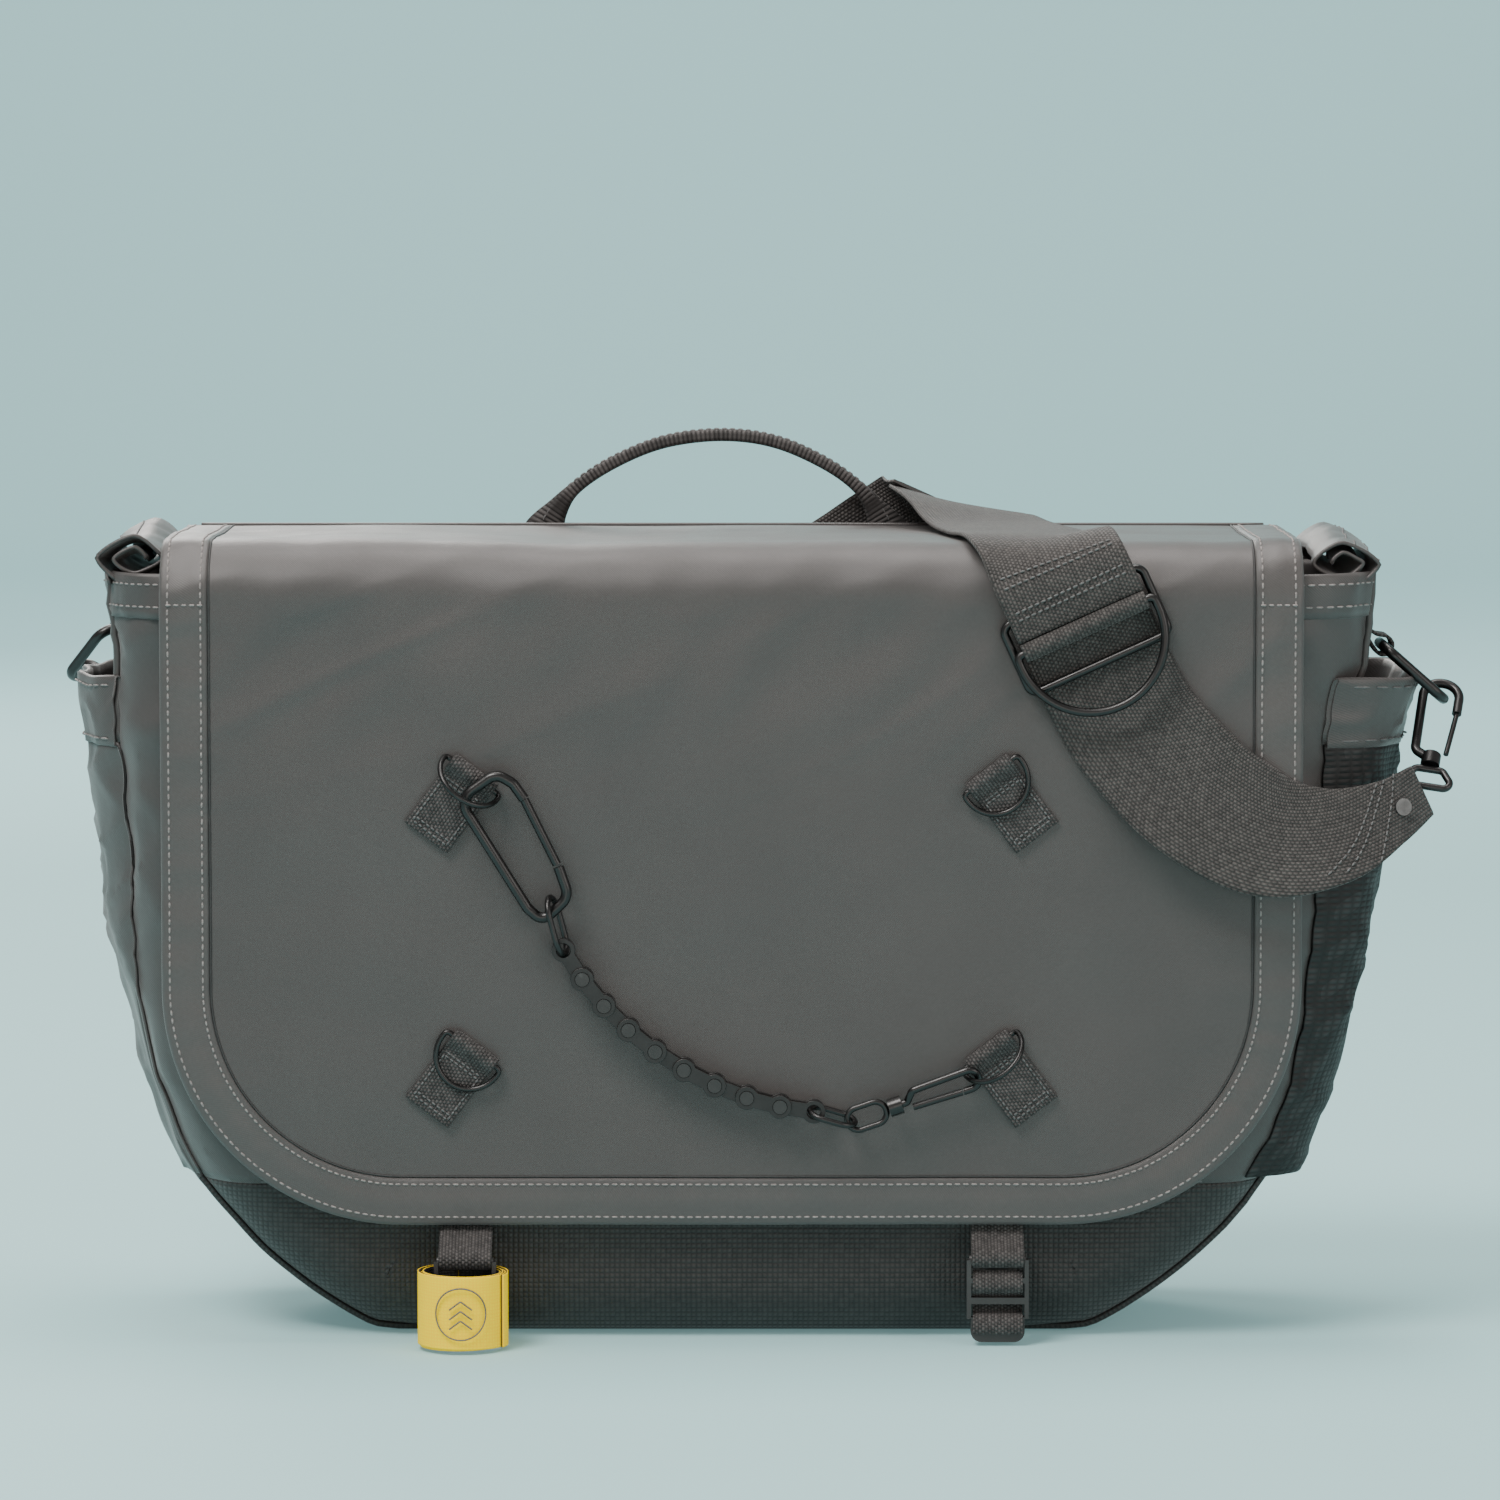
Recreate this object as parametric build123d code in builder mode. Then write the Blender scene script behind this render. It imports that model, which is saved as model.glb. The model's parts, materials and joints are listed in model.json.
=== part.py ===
"""A courier messenger bag with a covering flap, D-ring tabs, a chain leash and a shoulder strap.

Millimetres. The bag stands on the floor, Z = 0, with X to its right, the front facing -Y and Z up.
The origin is the middle of its flat base.
"""

import os
from math import cos, radians, sin

from build123d import *

os.makedirs("parts", exist_ok=True)

# Body shell
DEPTH_HALF = 64.0
WALL = 3.0
BODY_TOP = 285.0
TOP_HALF = 232.0
SIDE_HALF, SIDE_Z = 222.0, 130.0
BASE_HALF = 126.0
BASE_BLEND = 40.0
EDGE_ROUND = 24.0
GUSSET_HALF = 43.0
LOWER_SEAM_Z = 57.0
BACK_SEAM_TOP = 293.0

# Flap: an L in section, hinged along the top of the back panel
FLAP_HALF = 210.5
FLAP_T = 3.0
FLAP_TOP = 297.0
FLAP_FRONT = -72.0
FLAP_REAR = 64.5
FLAP_BOTTOM = 44.7
FLAP_BEND = 20.0
FLAP_CORNER = 88.0
BINDING = 17.0

# Webbing
WEB_T = 1.8
SMALL_WEB = 19.5
STRAP_HALF = 25.0

# D-ring tabs on the flap
TAB_X, TAB_UPPER_Z, TAB_LOWER_Z = 103.6, 201.5, 99.2
TAB_LENGTH, TAB_T, TAB_TURN = 31.0, 2.4, 37.0
RING_WIRE = 1.0
RING_HALF, RING_DEPTH = 12.2, 15.0
RING_Y = -75.7
RING_REACH = 13.5
LOADED_RING_TILT = 55.0

# Chain leash
PITCH = 12.7
CHAIN_Y = -80.4
LINK_START = (-62.0, 148.0)
LINK_START_ANGLE, LINK_TURN, LINKS = -57.0, 6.0, 9
PLATE_T, PLATE_END_R, PLATE_WAIST = 1.0, 4.3, 5.6
INNER_GAP, LINK_HOLE_R = 3.2, 2.6

# Shoulder strap hardware
SLIDER_AT = (130.5, -76.3, 266.0)
SLIDER_HALF, SLIDER_HALF_LENGTH, SLIDER_WIRE = 28.0, 13.5, 1.6
STRAP_RING_AT = (130.0, -79.8, 267.5)
STRAP_DOWN = Vector(0.413, 0, -0.911)
STRAP_ACROSS = Vector(0.911, 0, 0.413)

# Side hardware, given for the right-hand side of the bag
SIDE_RING_TOP = (244.0, -24.0, 257.0)
SIDE_RING_LENGTH, SIDE_RING_HALF, SIDE_RING_WIRE = 30.0, 14.5, 2.0
STRAP_END = (259.0, -50.0, 207.0)
HOOK_WIRE, HOOK_GATE_WIRE, HOOK_EYE_WIRE, HOOK_SHANK_R = 1.8, 1.0, 1.4, 3.6
# The left-hand set is turned about the centres of the two rounded edges it hangs from
RIGHT_CORNER, LEFT_CORNER, LEFT_TURN = (207.0, -24.0), (-207.0, 40.0), 135.0

# Lash straps and their buckles
LASH_X = 98.7
BUCKLE_TOP_Z = 32.0
BUCKLE_Y = {"left": -81.0, "right": -76.0}
BUCKLE_HALF, BUCKLE_T, BUCKLE_LENGTH = 11.5, 4.6, 31.0
BAND_AT = (-99.7, -82.5)
BAND_R, BAND_BORE, BAND_LOW, BAND_HIGH = 17.5, 13.3, 1.5, 29.5

# Grab handle
HANDLE_X, HANDLE_Y = -4.0, 69.0
HANDLE_BASE_HALF, HANDLE_NECK_HALF, HANDLE_NECK_Z, HANDLE_TOP = 64.0, 57.0, 311.0, 332.0
HANDLE_THICK, HANDLE_DEEP = 4.6, 7.0


def save(builder, name):
    """Label a finished piece and write it as its own STEP file."""
    builder.part.label = name
    export_step(builder.part, f"parts/{name}.step")


def inside(builder_part, low, high):
    """The part of a solid that lies in the box from low to high."""
    size = [h - l for l, h in zip(low, high)]
    middle = tuple((h + l) / 2 for l, h in zip(low, high))
    with BuildPart() as piece:
        with Locations(middle):
            Box(*size)
        add(builder_part, mode=Mode.INTERSECT)
    return piece


def tube(path, wire):
    """A round wire along the edges of a closed or open path."""
    with BuildPart() as piece:
        with BuildLine():
            add(path)
        with BuildSketch(Plane(origin=path @ 0, z_dir=path % 0)):
            Circle(wire)
        sweep()
    return piece


def ribbon(stations, thick=WEB_T):
    """Webbing lofted through stations of (centre, width direction, half width)."""
    centres = [Vector(*s[0]) for s in stations]
    with BuildPart() as piece:
        for i, (_, across, half) in enumerate(stations):
            ahead = centres[min(i + 1, len(centres) - 1)] - centres[max(i - 1, 0)]
            normal = ahead.cross(Vector(*across)).normalized()
            along = Vector(*across).cross(normal).normalized()
            with BuildSketch(Plane(origin=centres[i], x_dir=Vector(*across), z_dir=-along)):
                Rectangle(2 * half, thick)
        loft(ruled=True)
    return piece


# ---- Body shell -------------------------------------------------------------------------


def body_section(inset, top):
    """The body's front outline: half of it drawn, then mirrored."""
    with BuildSketch() as section:
        with BuildLine():
            side = Line((TOP_HALF - inset, BODY_TOP), (SIDE_HALF - inset, SIDE_Z))
            bend = TangentArc(side @ 1, (BASE_HALF - inset / 2, inset), tangent=side % 1)
            base = Line(bend @ 1, (0, inset))
            middle = Line(base @ 1, (0, top))
            rim = Line(middle @ 1, (TOP_HALF - inset, top))
            if top > BODY_TOP:
                Line(rim @ 1, side @ 0)
        make_face()
        mirror(about=Plane.YZ)
        corners = [v for v in vertices() if abs(v.Y - inset) < 0.1 and abs(v.X) > 1]
        fillet(corners, BASE_BLEND)
    return section.sketch


def body_block(inset, top):
    """The closed body block, its long edges rounded front and back."""
    with BuildPart() as block:
        with BuildSketch(Plane.XZ):
            add(body_section(inset, top))
        extrude(amount=DEPTH_HALF - inset, both=True)
        rims = [
            e
            for e in edges()
            if abs(abs(e.center().Y) - (DEPTH_HALF - inset)) < 0.01 and e.center().Z < top - 0.5
        ]
        fillet(rims, EDGE_ROUND - inset)
    return block


outer_block = body_block(0, BODY_TOP)
inner_block = body_block(WALL, BODY_TOP + 20)

FAR = 300.0
TALL = BODY_TOP + 1


def shell_piece(low, high):
    """The part of the body's wall that lies in the box from low to high."""
    with BuildPart() as wall:
        add(inside(outer_block.part, low, high).part)
        add(inner_block.part, mode=Mode.SUBTRACT)
    return wall


front_panel = shell_piece((-FAR, -FAR, LOWER_SEAM_Z), (FAR, -GUSSET_HALF, TALL))
save(front_panel, "front_panel")
front_lower_panel = shell_piece((-FAR, -FAR, -1), (FAR, -GUSSET_HALF, LOWER_SEAM_Z))
save(front_lower_panel, "front_lower_panel")

with BuildPart() as back_panel:
    add(shell_piece((-FAR, GUSSET_HALF, -1), (FAR, FAR, TALL)).part)
    with Locations((0, DEPTH_HALF - WALL / 2, (BODY_TOP + BACK_SEAM_TOP) / 2)):
        Box(2 * (FLAP_HALF - 5), WALL, BACK_SEAM_TOP - BODY_TOP)
save(back_panel, "back_panel")

bottom_gusset = shell_piece((-FAR, -GUSSET_HALF, -1), (FAR, GUSSET_HALF, LOWER_SEAM_Z))
save(bottom_gusset, "bottom_gusset")
side_gusset_left = shell_piece((-FAR, -GUSSET_HALF, LOWER_SEAM_Z), (0, GUSSET_HALF, TALL))
save(side_gusset_left, "side_gusset_left")
side_gusset_right = shell_piece((0, -GUSSET_HALF, LOWER_SEAM_Z), (FAR, GUSSET_HALF, TALL))
save(side_gusset_right, "side_gusset_right")

STIFFENER_HALF, STIFFENER_DEPTH, STIFFENER_T = 100.0, 36.0, 3.0
with BuildPart() as base_stiffener:
    with BuildSketch(Plane.XY.offset(WALL)):
        RectangleRounded(2 * STIFFENER_HALF, 2 * STIFFENER_DEPTH, 12)
    extrude(amount=STIFFENER_T)
save(base_stiffener, "base_stiffener")

# ---- Rolled ears at the two ends of the mouth ------------------------------------------------

EAR_X, EAR_Z, EAR_R, EAR_CORE, EAR_HALF = 222.5, 294.5, 9.0, 3.4, 50.0


def rolled_ear(side):
    """Fabric rolled up about a front-to-back axis, standing on the side gusset."""
    with BuildPart() as ear:
        with BuildSketch(Plane.XZ):
            with Locations((side * EAR_X, EAR_Z)):
                Circle(EAR_R)
            with Locations((side * (EAR_X + EAR_R - 1.2), (BODY_TOP + EAR_Z) / 2)):
                Rectangle(2.4, EAR_Z - BODY_TOP)
            with Locations((side * EAR_X, EAR_Z)):
                Circle(EAR_CORE, mode=Mode.SUBTRACT)
        extrude(amount=EAR_HALF, both=True)
    return ear


for side, word in ((-1, "left"), (1, "right")):
    save(rolled_ear(side), f"rolled_ear_{word}")

# ---- Side pockets ---------------------------------------------------------------------------

POCKET_TOP, POCKET_HEM_Z, POCKET_BASE = 246.0, 221.0, 60.0
POCKET_HALF_DEPTH, POCKET_WALL = 43.0, 2.0


def pocket_profile(side, inset):
    """The outer line of a side pocket, closed towards the bag's middle."""
    with BuildSketch() as profile:
        with BuildLine():
            skin = ThreePointArc(
                (side * (250 - inset), POCKET_TOP + inset),
                (side * (235 - inset), 145 + inset),
                (side * (206 - inset), POCKET_BASE + inset),
            )
            foot = Line(skin @ 1, (side * 185, POCKET_BASE + inset))
            inner = Line(foot @ 1, (side * 185, POCKET_TOP + inset))
            Line(inner @ 1, skin @ 0)
        make_face()
    return profile.sketch


def side_pocket(side):
    """A patch pocket on the side gusset, open at its top."""
    with BuildPart() as pocket:
        with BuildSketch(Plane.XZ):
            add(pocket_profile(side, 0))
        extrude(amount=POCKET_HALF_DEPTH, both=True)
        with BuildSketch(Plane.XZ):
            add(pocket_profile(side, POCKET_WALL))
        extrude(amount=POCKET_HALF_DEPTH - POCKET_WALL, both=True, mode=Mode.SUBTRACT)
        add(outer_block.part, mode=Mode.SUBTRACT)
    return pocket


for side, word in ((-1, "left"), (1, "right")):
    pocket = side_pocket(side)
    save(inside(pocket.part, (-FAR, -FAR, 0), (FAR, FAR, POCKET_HEM_Z)), f"side_pocket_{word}")
    save(inside(pocket.part, (-FAR, -FAR, POCKET_HEM_Z), (FAR, FAR, FAR)), f"pocket_hem_{word}")

# ---- Flap -------------------------------------------------------------------------------------


def flap_area(inset):
    """The flap seen from the front, with its large lower corners, for the active sketch."""
    half = FLAP_HALF - inset
    low = FLAP_BOTTOM + inset
    with Locations((0, (FLAP_TOP + 20 + low) / 2)):
        Rectangle(2 * half, FLAP_TOP + 20 - low)
    fillet(vertices().group_by(Axis.Y)[0], FLAP_CORNER - inset)


with BuildPart() as flap_sheet:
    with BuildSketch(Plane.YZ):
        with BuildLine():
            Polyline(
                (FLAP_REAR, FLAP_TOP - FLAP_T),
                (FLAP_REAR, FLAP_TOP),
                (FLAP_FRONT, FLAP_TOP),
                (FLAP_FRONT, FLAP_BOTTOM),
                (FLAP_FRONT + FLAP_T, FLAP_BOTTOM),
                (FLAP_FRONT + FLAP_T, FLAP_TOP - FLAP_T),
                close=True,
            )
        make_face()
        bends = vertices().group_by(Axis.X)
        fillet(bends[0].sort_by(Axis.Y)[-1], FLAP_BEND)
        inner_bend = [v for v in vertices() if abs(v.X - FLAP_FRONT - FLAP_T) < 0.1]
        fillet(max(inner_bend, key=lambda v: v.Y), FLAP_BEND - FLAP_T)
    extrude(amount=FLAP_HALF, both=True)

with BuildPart() as flap_panel:
    with BuildSketch(Plane.XZ):
        flap_area(BINDING)
    extrude(amount=FAR, both=True)
    add(flap_sheet.part, mode=Mode.INTERSECT)
save(flap_panel, "flap_panel")

with BuildPart() as flap_binding:
    with BuildSketch(Plane.XZ):
        flap_area(0)
        with BuildSketch(mode=Mode.PRIVATE) as middle_area:
            flap_area(BINDING)
        add(middle_area.sketch, mode=Mode.SUBTRACT)
    extrude(amount=FAR, both=True)
    add(flap_sheet.part, mode=Mode.INTERSECT)
save(flap_binding, "flap_binding")

# ---- D-ring tabs and D-rings --------------------------------------------------------------------


def tab_plane(side, height):
    """A plane on the flap with x across the webbing and y up its length, towards the ring."""
    turn = radians(TAB_TURN)
    across = Vector(cos(turn), 0, side * sin(turn))
    return Plane(origin=(side * TAB_X, FLAP_FRONT, height), x_dir=across, z_dir=(0, -1, 0))


def d_path(plane, half, depth, corner):
    """A D: a straight bar along x at y = 0 and an arc below it."""
    with BuildSketch() as flat:
        with BuildLine():
            bow = ThreePointArc((-half, 0), (0, -depth), (half, 0))
            Line(bow @ 1, bow @ 0)
        make_face()
        fillet(flat.vertices(), corner)
    outline = flat.sketch.faces()[0].outer_wire()
    return plane.from_local_coords(outline)


def ring_tab(side, height):
    """Webbing sewn flat on the flap and folded round the straight bar of its ring."""
    plane = tab_plane(side, height)
    fold = Plane(origin=plane.from_local_coords((0, RING_REACH, FLAP_FRONT - RING_Y)), x_dir=plane.x_dir,
                 z_dir=plane.x_dir.cross(Vector(0, 1, 0)))
    with BuildPart() as tab:
        with BuildSketch(plane):
            with Locations((0, (RING_REACH - TAB_LENGTH / 2) / 2)):
                Rectangle(SMALL_WEB, RING_REACH + TAB_LENGTH / 2)
        extrude(amount=TAB_T)
        bar = Plane(origin=fold.origin - plane.x_dir * SMALL_WEB / 2, z_dir=plane.x_dir)
        with BuildSketch(bar):
            Circle(RING_WIRE + 1.4)
        extrude(amount=SMALL_WEB)
        with BuildSketch(bar):
            Circle(RING_WIRE + 0.15)
        extrude(amount=SMALL_WEB, mode=Mode.SUBTRACT)
    return tab


def flap_ring(side, height, tilt):
    """A D-ring in the fold of its tab, its bow lifted off the flap by a tilt."""
    plane = tab_plane(side, height)
    centre = plane.from_local_coords((0, RING_REACH, FLAP_FRONT - RING_Y))
    down = (-plane.y_dir) * cos(radians(tilt)) + Vector(0, -1, 0) * sin(radians(tilt))
    ring_plane = Plane(origin=centre, x_dir=plane.x_dir, z_dir=plane.x_dir.cross(-down))
    return tube(d_path(ring_plane, RING_HALF, RING_DEPTH, 1.7), RING_WIRE)


for side, word in ((-1, "left"), (1, "right")):
    for height, level in ((TAB_UPPER_Z, "top"), (TAB_LOWER_Z, "bottom")):
        loaded = (word, level) in (("left", "top"), ("right", "bottom"))
        save(ring_tab(side, height), f"d_ring_tab_{level}_{word}")
        save(flap_ring(side, height, LOADED_RING_TILT if loaded else 0), f"d_ring_{level}_{word}")

# ---- Chain leash --------------------------------------------------------------------------------


def leash_plane(x, z, angle, y=CHAIN_Y):
    """A plane facing the front with its x axis at an angle above the bag's X."""
    return Plane(origin=(x, y, z), x_dir=(cos(radians(angle)), 0, sin(radians(angle))), z_dir=(0, -1, 0))


CARABINER_ANGLE, CARABINER_WIRE = -58.0, 2.0
carabiner_plane = leash_plane(-99.6, 203.6, CARABINER_ANGLE)
# x runs down the carabiner, y towards its gate side
CARABINER_LENGTH, GATE_FROM, GATE_TO = 54.0, 12.0, 40.0
with BuildPart() as carabiner_body:
    with BuildLine(carabiner_plane) as frame_line:
        FilletPolyline(
            (GATE_TO, 17.2), (51.5, 14.6), (54.0, 1.5), (47.0, -0.6), (-0.5, -0.6), (-1.5, 16.0),
            (5.0, 19.4), (GATE_FROM, 19.8), radius=[6.0, 4.0, 3.5, 6.5, 5.5, 4.0])
    with BuildSketch(Plane(origin=frame_line.line @ 0, z_dir=frame_line.line % 0)):
        Circle(CARABINER_WIRE)
    sweep()
save(carabiner_body, "carabiner_body")

gate_start = carabiner_plane.from_local_coords((GATE_FROM + 0.3, 19.8, 0))
gate_end = carabiner_plane.from_local_coords((GATE_TO - 1.1, 17.2, 0))
with BuildPart() as carabiner_gate:
    with BuildSketch(Plane(origin=gate_start, z_dir=gate_end - gate_start)):
        Circle(CARABINER_WIRE - 0.3)
    extrude(amount=(gate_end - gate_start).length)
save(carabiner_gate, "carabiner_gate")


def oval_line(length, width):
    """The centre line of an oval, drawn in the active line."""
    run, radius = length / 2 - width / 2, width / 2
    top = Line((-run, radius), (run, radius))
    turn = ThreePointArc(top @ 1, (run + radius, 0), (run, -radius))
    back = Line(turn @ 1, (-run, -radius))
    ThreePointArc(back @ 1, (-run - radius, 0), top @ 0)


def oval_ring(start, end, half_width, wire, lean):
    """An oval wire ring between two points, its plane leaning off the front-to-back axis."""
    a, b = Vector(*start), Vector(*end)
    along = (b - a).normalized()
    across = along.cross(Vector(0, 1, 0)).normalized()
    wide = Vector(0, 1, 0) * cos(radians(lean)) + across * sin(radians(lean))
    plane = Plane(origin=(a + b) / 2, x_dir=along, z_dir=along.cross(wide))
    with BuildPart() as ring:
        with BuildLine(plane) as path:
            oval_line((b - a).length, 2 * half_width)
        with BuildSketch(Plane(origin=path.line @ 0, z_dir=path.line % 0)):
            Circle(wire)
        sweep()
    return ring


link_holes = [LINK_START]
for i in range(LINKS):
    turn = radians(LINK_START_ANGLE + i * LINK_TURN)
    x, z = link_holes[-1]
    link_holes.append((x + PITCH * cos(turn), z + PITCH * sin(turn)))


def link_plate(i, offset):
    """One waisted side plate between two holes, at an offset from the chain's middle plane."""
    x, z = link_holes[i]
    angle = LINK_START_ANGLE + i * LINK_TURN
    with BuildPart(mode=Mode.PRIVATE) as plate:
        with BuildSketch(leash_plane(x, z, angle, CHAIN_Y + offset + PLATE_T / 2)):
            with Locations((0, 0), (PITCH, 0)):
                Circle(PLATE_END_R)
            with Locations((PITCH / 2, 0)):
                Rectangle(PITCH, PLATE_WAIST)
            with Locations((0, 0), (PITCH, 0)):
                Circle(LINK_HOLE_R, mode=Mode.SUBTRACT)
        extrude(amount=PLATE_T)
    return plate.part


inner_offset = INNER_GAP / 2 + PLATE_T / 2
outer_offset = inner_offset + PLATE_T + 0.15
with BuildPart() as chain_inner_links:
    for i in range(0, LINKS, 2):
        for offset in (-inner_offset, inner_offset):
            add(link_plate(i, offset))
save(chain_inner_links, "chain_inner_links")
with BuildPart() as chain_outer_links:
    for i in range(1, LINKS, 2):
        for offset in (-outer_offset, outer_offset):
            add(link_plate(i, offset))
save(chain_outer_links, "chain_outer_links")

pin_half = outer_offset + PLATE_T / 2 + 0.4
with BuildPart() as chain_pins:
    for x, z in link_holes[1:-1]:
        with BuildSketch(leash_plane(x, z, 0, CHAIN_Y + pin_half)):
            Circle(LINK_HOLE_R - 0.02)
        extrude(amount=2 * pin_half)
save(chain_pins, "chain_pins")

first_hole, last_hole = link_holes[0], link_holes[-1]
carabiner_foot = carabiner_plane.from_local_coords((52.6, 8.0, 0))
upper_from = (carabiner_foot.X - 1.8, CHAIN_Y, carabiner_foot.Z + 2.6)
JUMP_HALF, JUMP_WIRE = 6.4, 1.1
toward = Vector(first_hole[0], CHAIN_Y, first_hole[1]) - Vector(*upper_from)
upper_to = Vector(*upper_from) + toward * (1 + 1.6 / toward.length)
upper_start = Vector(*upper_from) - toward * (1.6 / toward.length)
save(oval_ring(tuple(upper_start), tuple(upper_to), JUMP_HALF, JUMP_WIRE, 14), "jump_ring_upper")

EYE_X, EYE_Z, EYE_LENGTH, EYE_HALF, EYE_WIRE = 50.0, 86.2, 15.0, 4.2, 1.1
HOOK_ANGLE = 19.0
HOOK_LEAN = -20.0
eye_along = Vector(cos(radians(HOOK_ANGLE)), 0, sin(radians(HOOK_ANGLE)))
hook_root = Vector(EYE_X, CHAIN_Y, EYE_Z) + eye_along * (EYE_LENGTH / 2)
eye_tip = Vector(EYE_X, CHAIN_Y, EYE_Z) - eye_along * (EYE_LENGTH / 2 - 1.2)
lower_from = Vector(last_hole[0], CHAIN_Y, last_hole[1])
run = eye_tip - lower_from
lower_start = lower_from - run * (1.4 / run.length)
lower_end = eye_tip + run * (1.6 / run.length)
save(oval_ring(tuple(lower_start), tuple(lower_end), 5.6, JUMP_WIRE, 14), "jump_ring_lower")

with BuildPart() as swivel_eye:
    with BuildLine(Plane(origin=(EYE_X, CHAIN_Y, EYE_Z), x_dir=eye_along, z_dir=(0, -1, 0))) as eye_path:
        oval_line(EYE_LENGTH, 2 * EYE_HALF)
    with BuildSketch(Plane(origin=eye_path.line @ 0, z_dir=eye_path.line % 0)):
        Circle(EYE_WIRE)
    sweep()
save(swivel_eye, "swivel_eye")

COLLAR_R, COLLAR_LENGTH = 3.4, 5.0
with BuildPart() as swivel_collar:
    with BuildSketch(Plane(origin=hook_root + eye_along * 1.2, z_dir=eye_along)):
        Circle(COLLAR_R)
    extrude(amount=COLLAR_LENGTH)
save(swivel_collar, "swivel_collar")

# The snap hook's loop, x along the hook from the collar, y across it, leaning so that its ring can pass
hook_up = Vector(0, -1, 0).cross(eye_along)
hook_face = Vector(0, -1, 0) * cos(radians(HOOK_LEAN)) + hook_up * sin(radians(HOOK_LEAN))
hook_plane = Plane(origin=hook_root + eye_along * (1.2 + COLLAR_LENGTH), x_dir=eye_along, z_dir=hook_face)
SNAP_WIRE, SNAP_LENGTH = 1.4, 30.0
with BuildPart() as snap_hook_body:
    with BuildLine(hook_plane) as snap_line:
        FilletPolyline(
            (0, 0), (2.0, 0), (5.2, 3.9), (SNAP_LENGTH, 4.6), (SNAP_LENGTH, -3.4), (SNAP_LENGTH - 7, -3.4),
            radius=[1.5, 2.0, 3.8, 3.8])
    with BuildSketch(Plane(origin=snap_line.line @ 0, z_dir=snap_line.line % 0)):
        Circle(SNAP_WIRE)
    sweep()
save(snap_hook_body, "snap_hook_body")
gate_low = hook_plane.from_local_coords((SNAP_LENGTH - 7.4, -3.4, 0))
gate_root = hook_plane.from_local_coords((3.6, -2.7, 0))
with BuildPart() as snap_hook_gate:
    with BuildSketch(Plane(origin=gate_root, z_dir=gate_low - gate_root)):
        Circle(SNAP_WIRE - 0.1)
    extrude(amount=(gate_low - gate_root).length)
save(snap_hook_gate, "snap_hook_gate")

# ---- Shoulder strap -------------------------------------------------------------------------------

FRONT_RUN = [
    ((83.5, 66.5, 305.0), (-0.82, -0.28, 0.27), STRAP_HALF),
    ((91.0, 42.0, 304.8), (-0.93, -0.30, 0.14), STRAP_HALF),
    ((98.0, 14.0, 300.2), (-0.95, -0.31, 0.03), STRAP_HALF),
    ((105.0, -20.0, 298.8), (-0.94, -0.33, 0.0), STRAP_HALF),
    ((111.0, -52.0, 298.8), (-0.93, -0.36, 0.0), STRAP_HALF),
    ((116.5, -68.5, 296.0), (-0.93, -0.22, -0.25), STRAP_HALF),
    ((120.3, -77.2, 289.0), (-0.92, -0.05, -0.38), STRAP_HALF),
    ((125.0, -79.4, 279.0), (-0.911, 0, -0.413), STRAP_HALF),
    ((128.5, -79.4, 271.2), (-0.911, 0, -0.413), STRAP_HALF),
]
LOWER_RUN = [
    ((125.5, -73.6, 277.0), (0.911, 0, 0.413), STRAP_HALF),
    ((140.5, -73.6, 244.0), (0.911, 0, 0.413), STRAP_HALF),
    ((155.0, -77.0, 222.0), (0.80, 0.05, 0.60), STRAP_HALF),
    ((175.0, -82.0, 203.0), (0.52, 0.22, 0.80), STRAP_HALF),
    ((198.0, -84.0, 191.0), (0.20, 0.30, 0.93), 23.0),
    ((222.0, -80.0, 190.0), (-0.08, 0.38, 0.92), 19.0),
    ((243.0, -68.0, 196.5), (-0.30, 0.20, 0.90), 13.0),
    ((256.6, -54.0, 204.6), (-0.62, -0.30, 0.70), 9.0),
]
REAR_RUN = [
    ((-220.9, 96.3, 204.6), (0.65, -0.23, 0.70), 9.0),
    ((-201.3, 96.6, 196.5), (0.35, -0.07, 0.90), 13.0),
    ((-178.0, 91.0, 192.0), (0.08, -0.05, 0.98), 19.0),
    ((-150.0, 83.0, 195.0), (-0.10, 0, 0.98), 24.0),
    ((-118.0, 78.5, 204.0), (-0.25, 0, 0.97), STRAP_HALF),
    ((-80.0, 76.5, 217.0), (-0.32, 0, 0.95), STRAP_HALF),
    ((-20.0, 76.0, 240.0), (-0.42, 0, 0.91), STRAP_HALF),
    ((36.0, 76.0, 271.0), (-0.52, 0, 0.86), STRAP_HALF),
    ((60.0, 76.8, 286.5), (-0.62, 0, 0.78), STRAP_HALF),
    ((74.0, 76.8, 296.0), (-0.69, -0.03, 0.70), STRAP_HALF),
    ((83.2, 67.5, 304.8), (-0.82, -0.28, 0.27), STRAP_HALF),
]
save(ribbon(FRONT_RUN), "strap_front_run")
save(ribbon(LOWER_RUN), "strap_lower_run")
save(ribbon(REAR_RUN), "strap_rear_run")

strap_face = Vector(0, -1, 0)


def strap_frame_plane(at):
    """A plane at a point on the strap, x across it and y up it, facing the front."""
    return Plane(origin=at, x_dir=STRAP_ACROSS, z_dir=strap_face)


with BuildPart() as strap_slider:
    with BuildSketch(Plane.XY) as slider_flat:
        RectangleRounded(2 * SLIDER_HALF, 2 * SLIDER_HALF_LENGTH, 3.5)
    add(tube(strap_frame_plane(SLIDER_AT).from_local_coords(slider_flat.sketch.faces()[0].outer_wire()),
             SLIDER_WIRE).part)
save(strap_slider, "strap_slider")

ring_lean = radians(6)
lean_down = STRAP_DOWN * cos(ring_lean) + strap_face * sin(ring_lean)
strap_ring_plane = Plane(origin=STRAP_RING_AT, x_dir=STRAP_ACROSS, z_dir=STRAP_ACROSS.cross(lean_down * -1))
save(tube(d_path(strap_ring_plane, 27.2, 32.0, 2.2), SLIDER_WIRE), "strap_d_ring")

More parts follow.
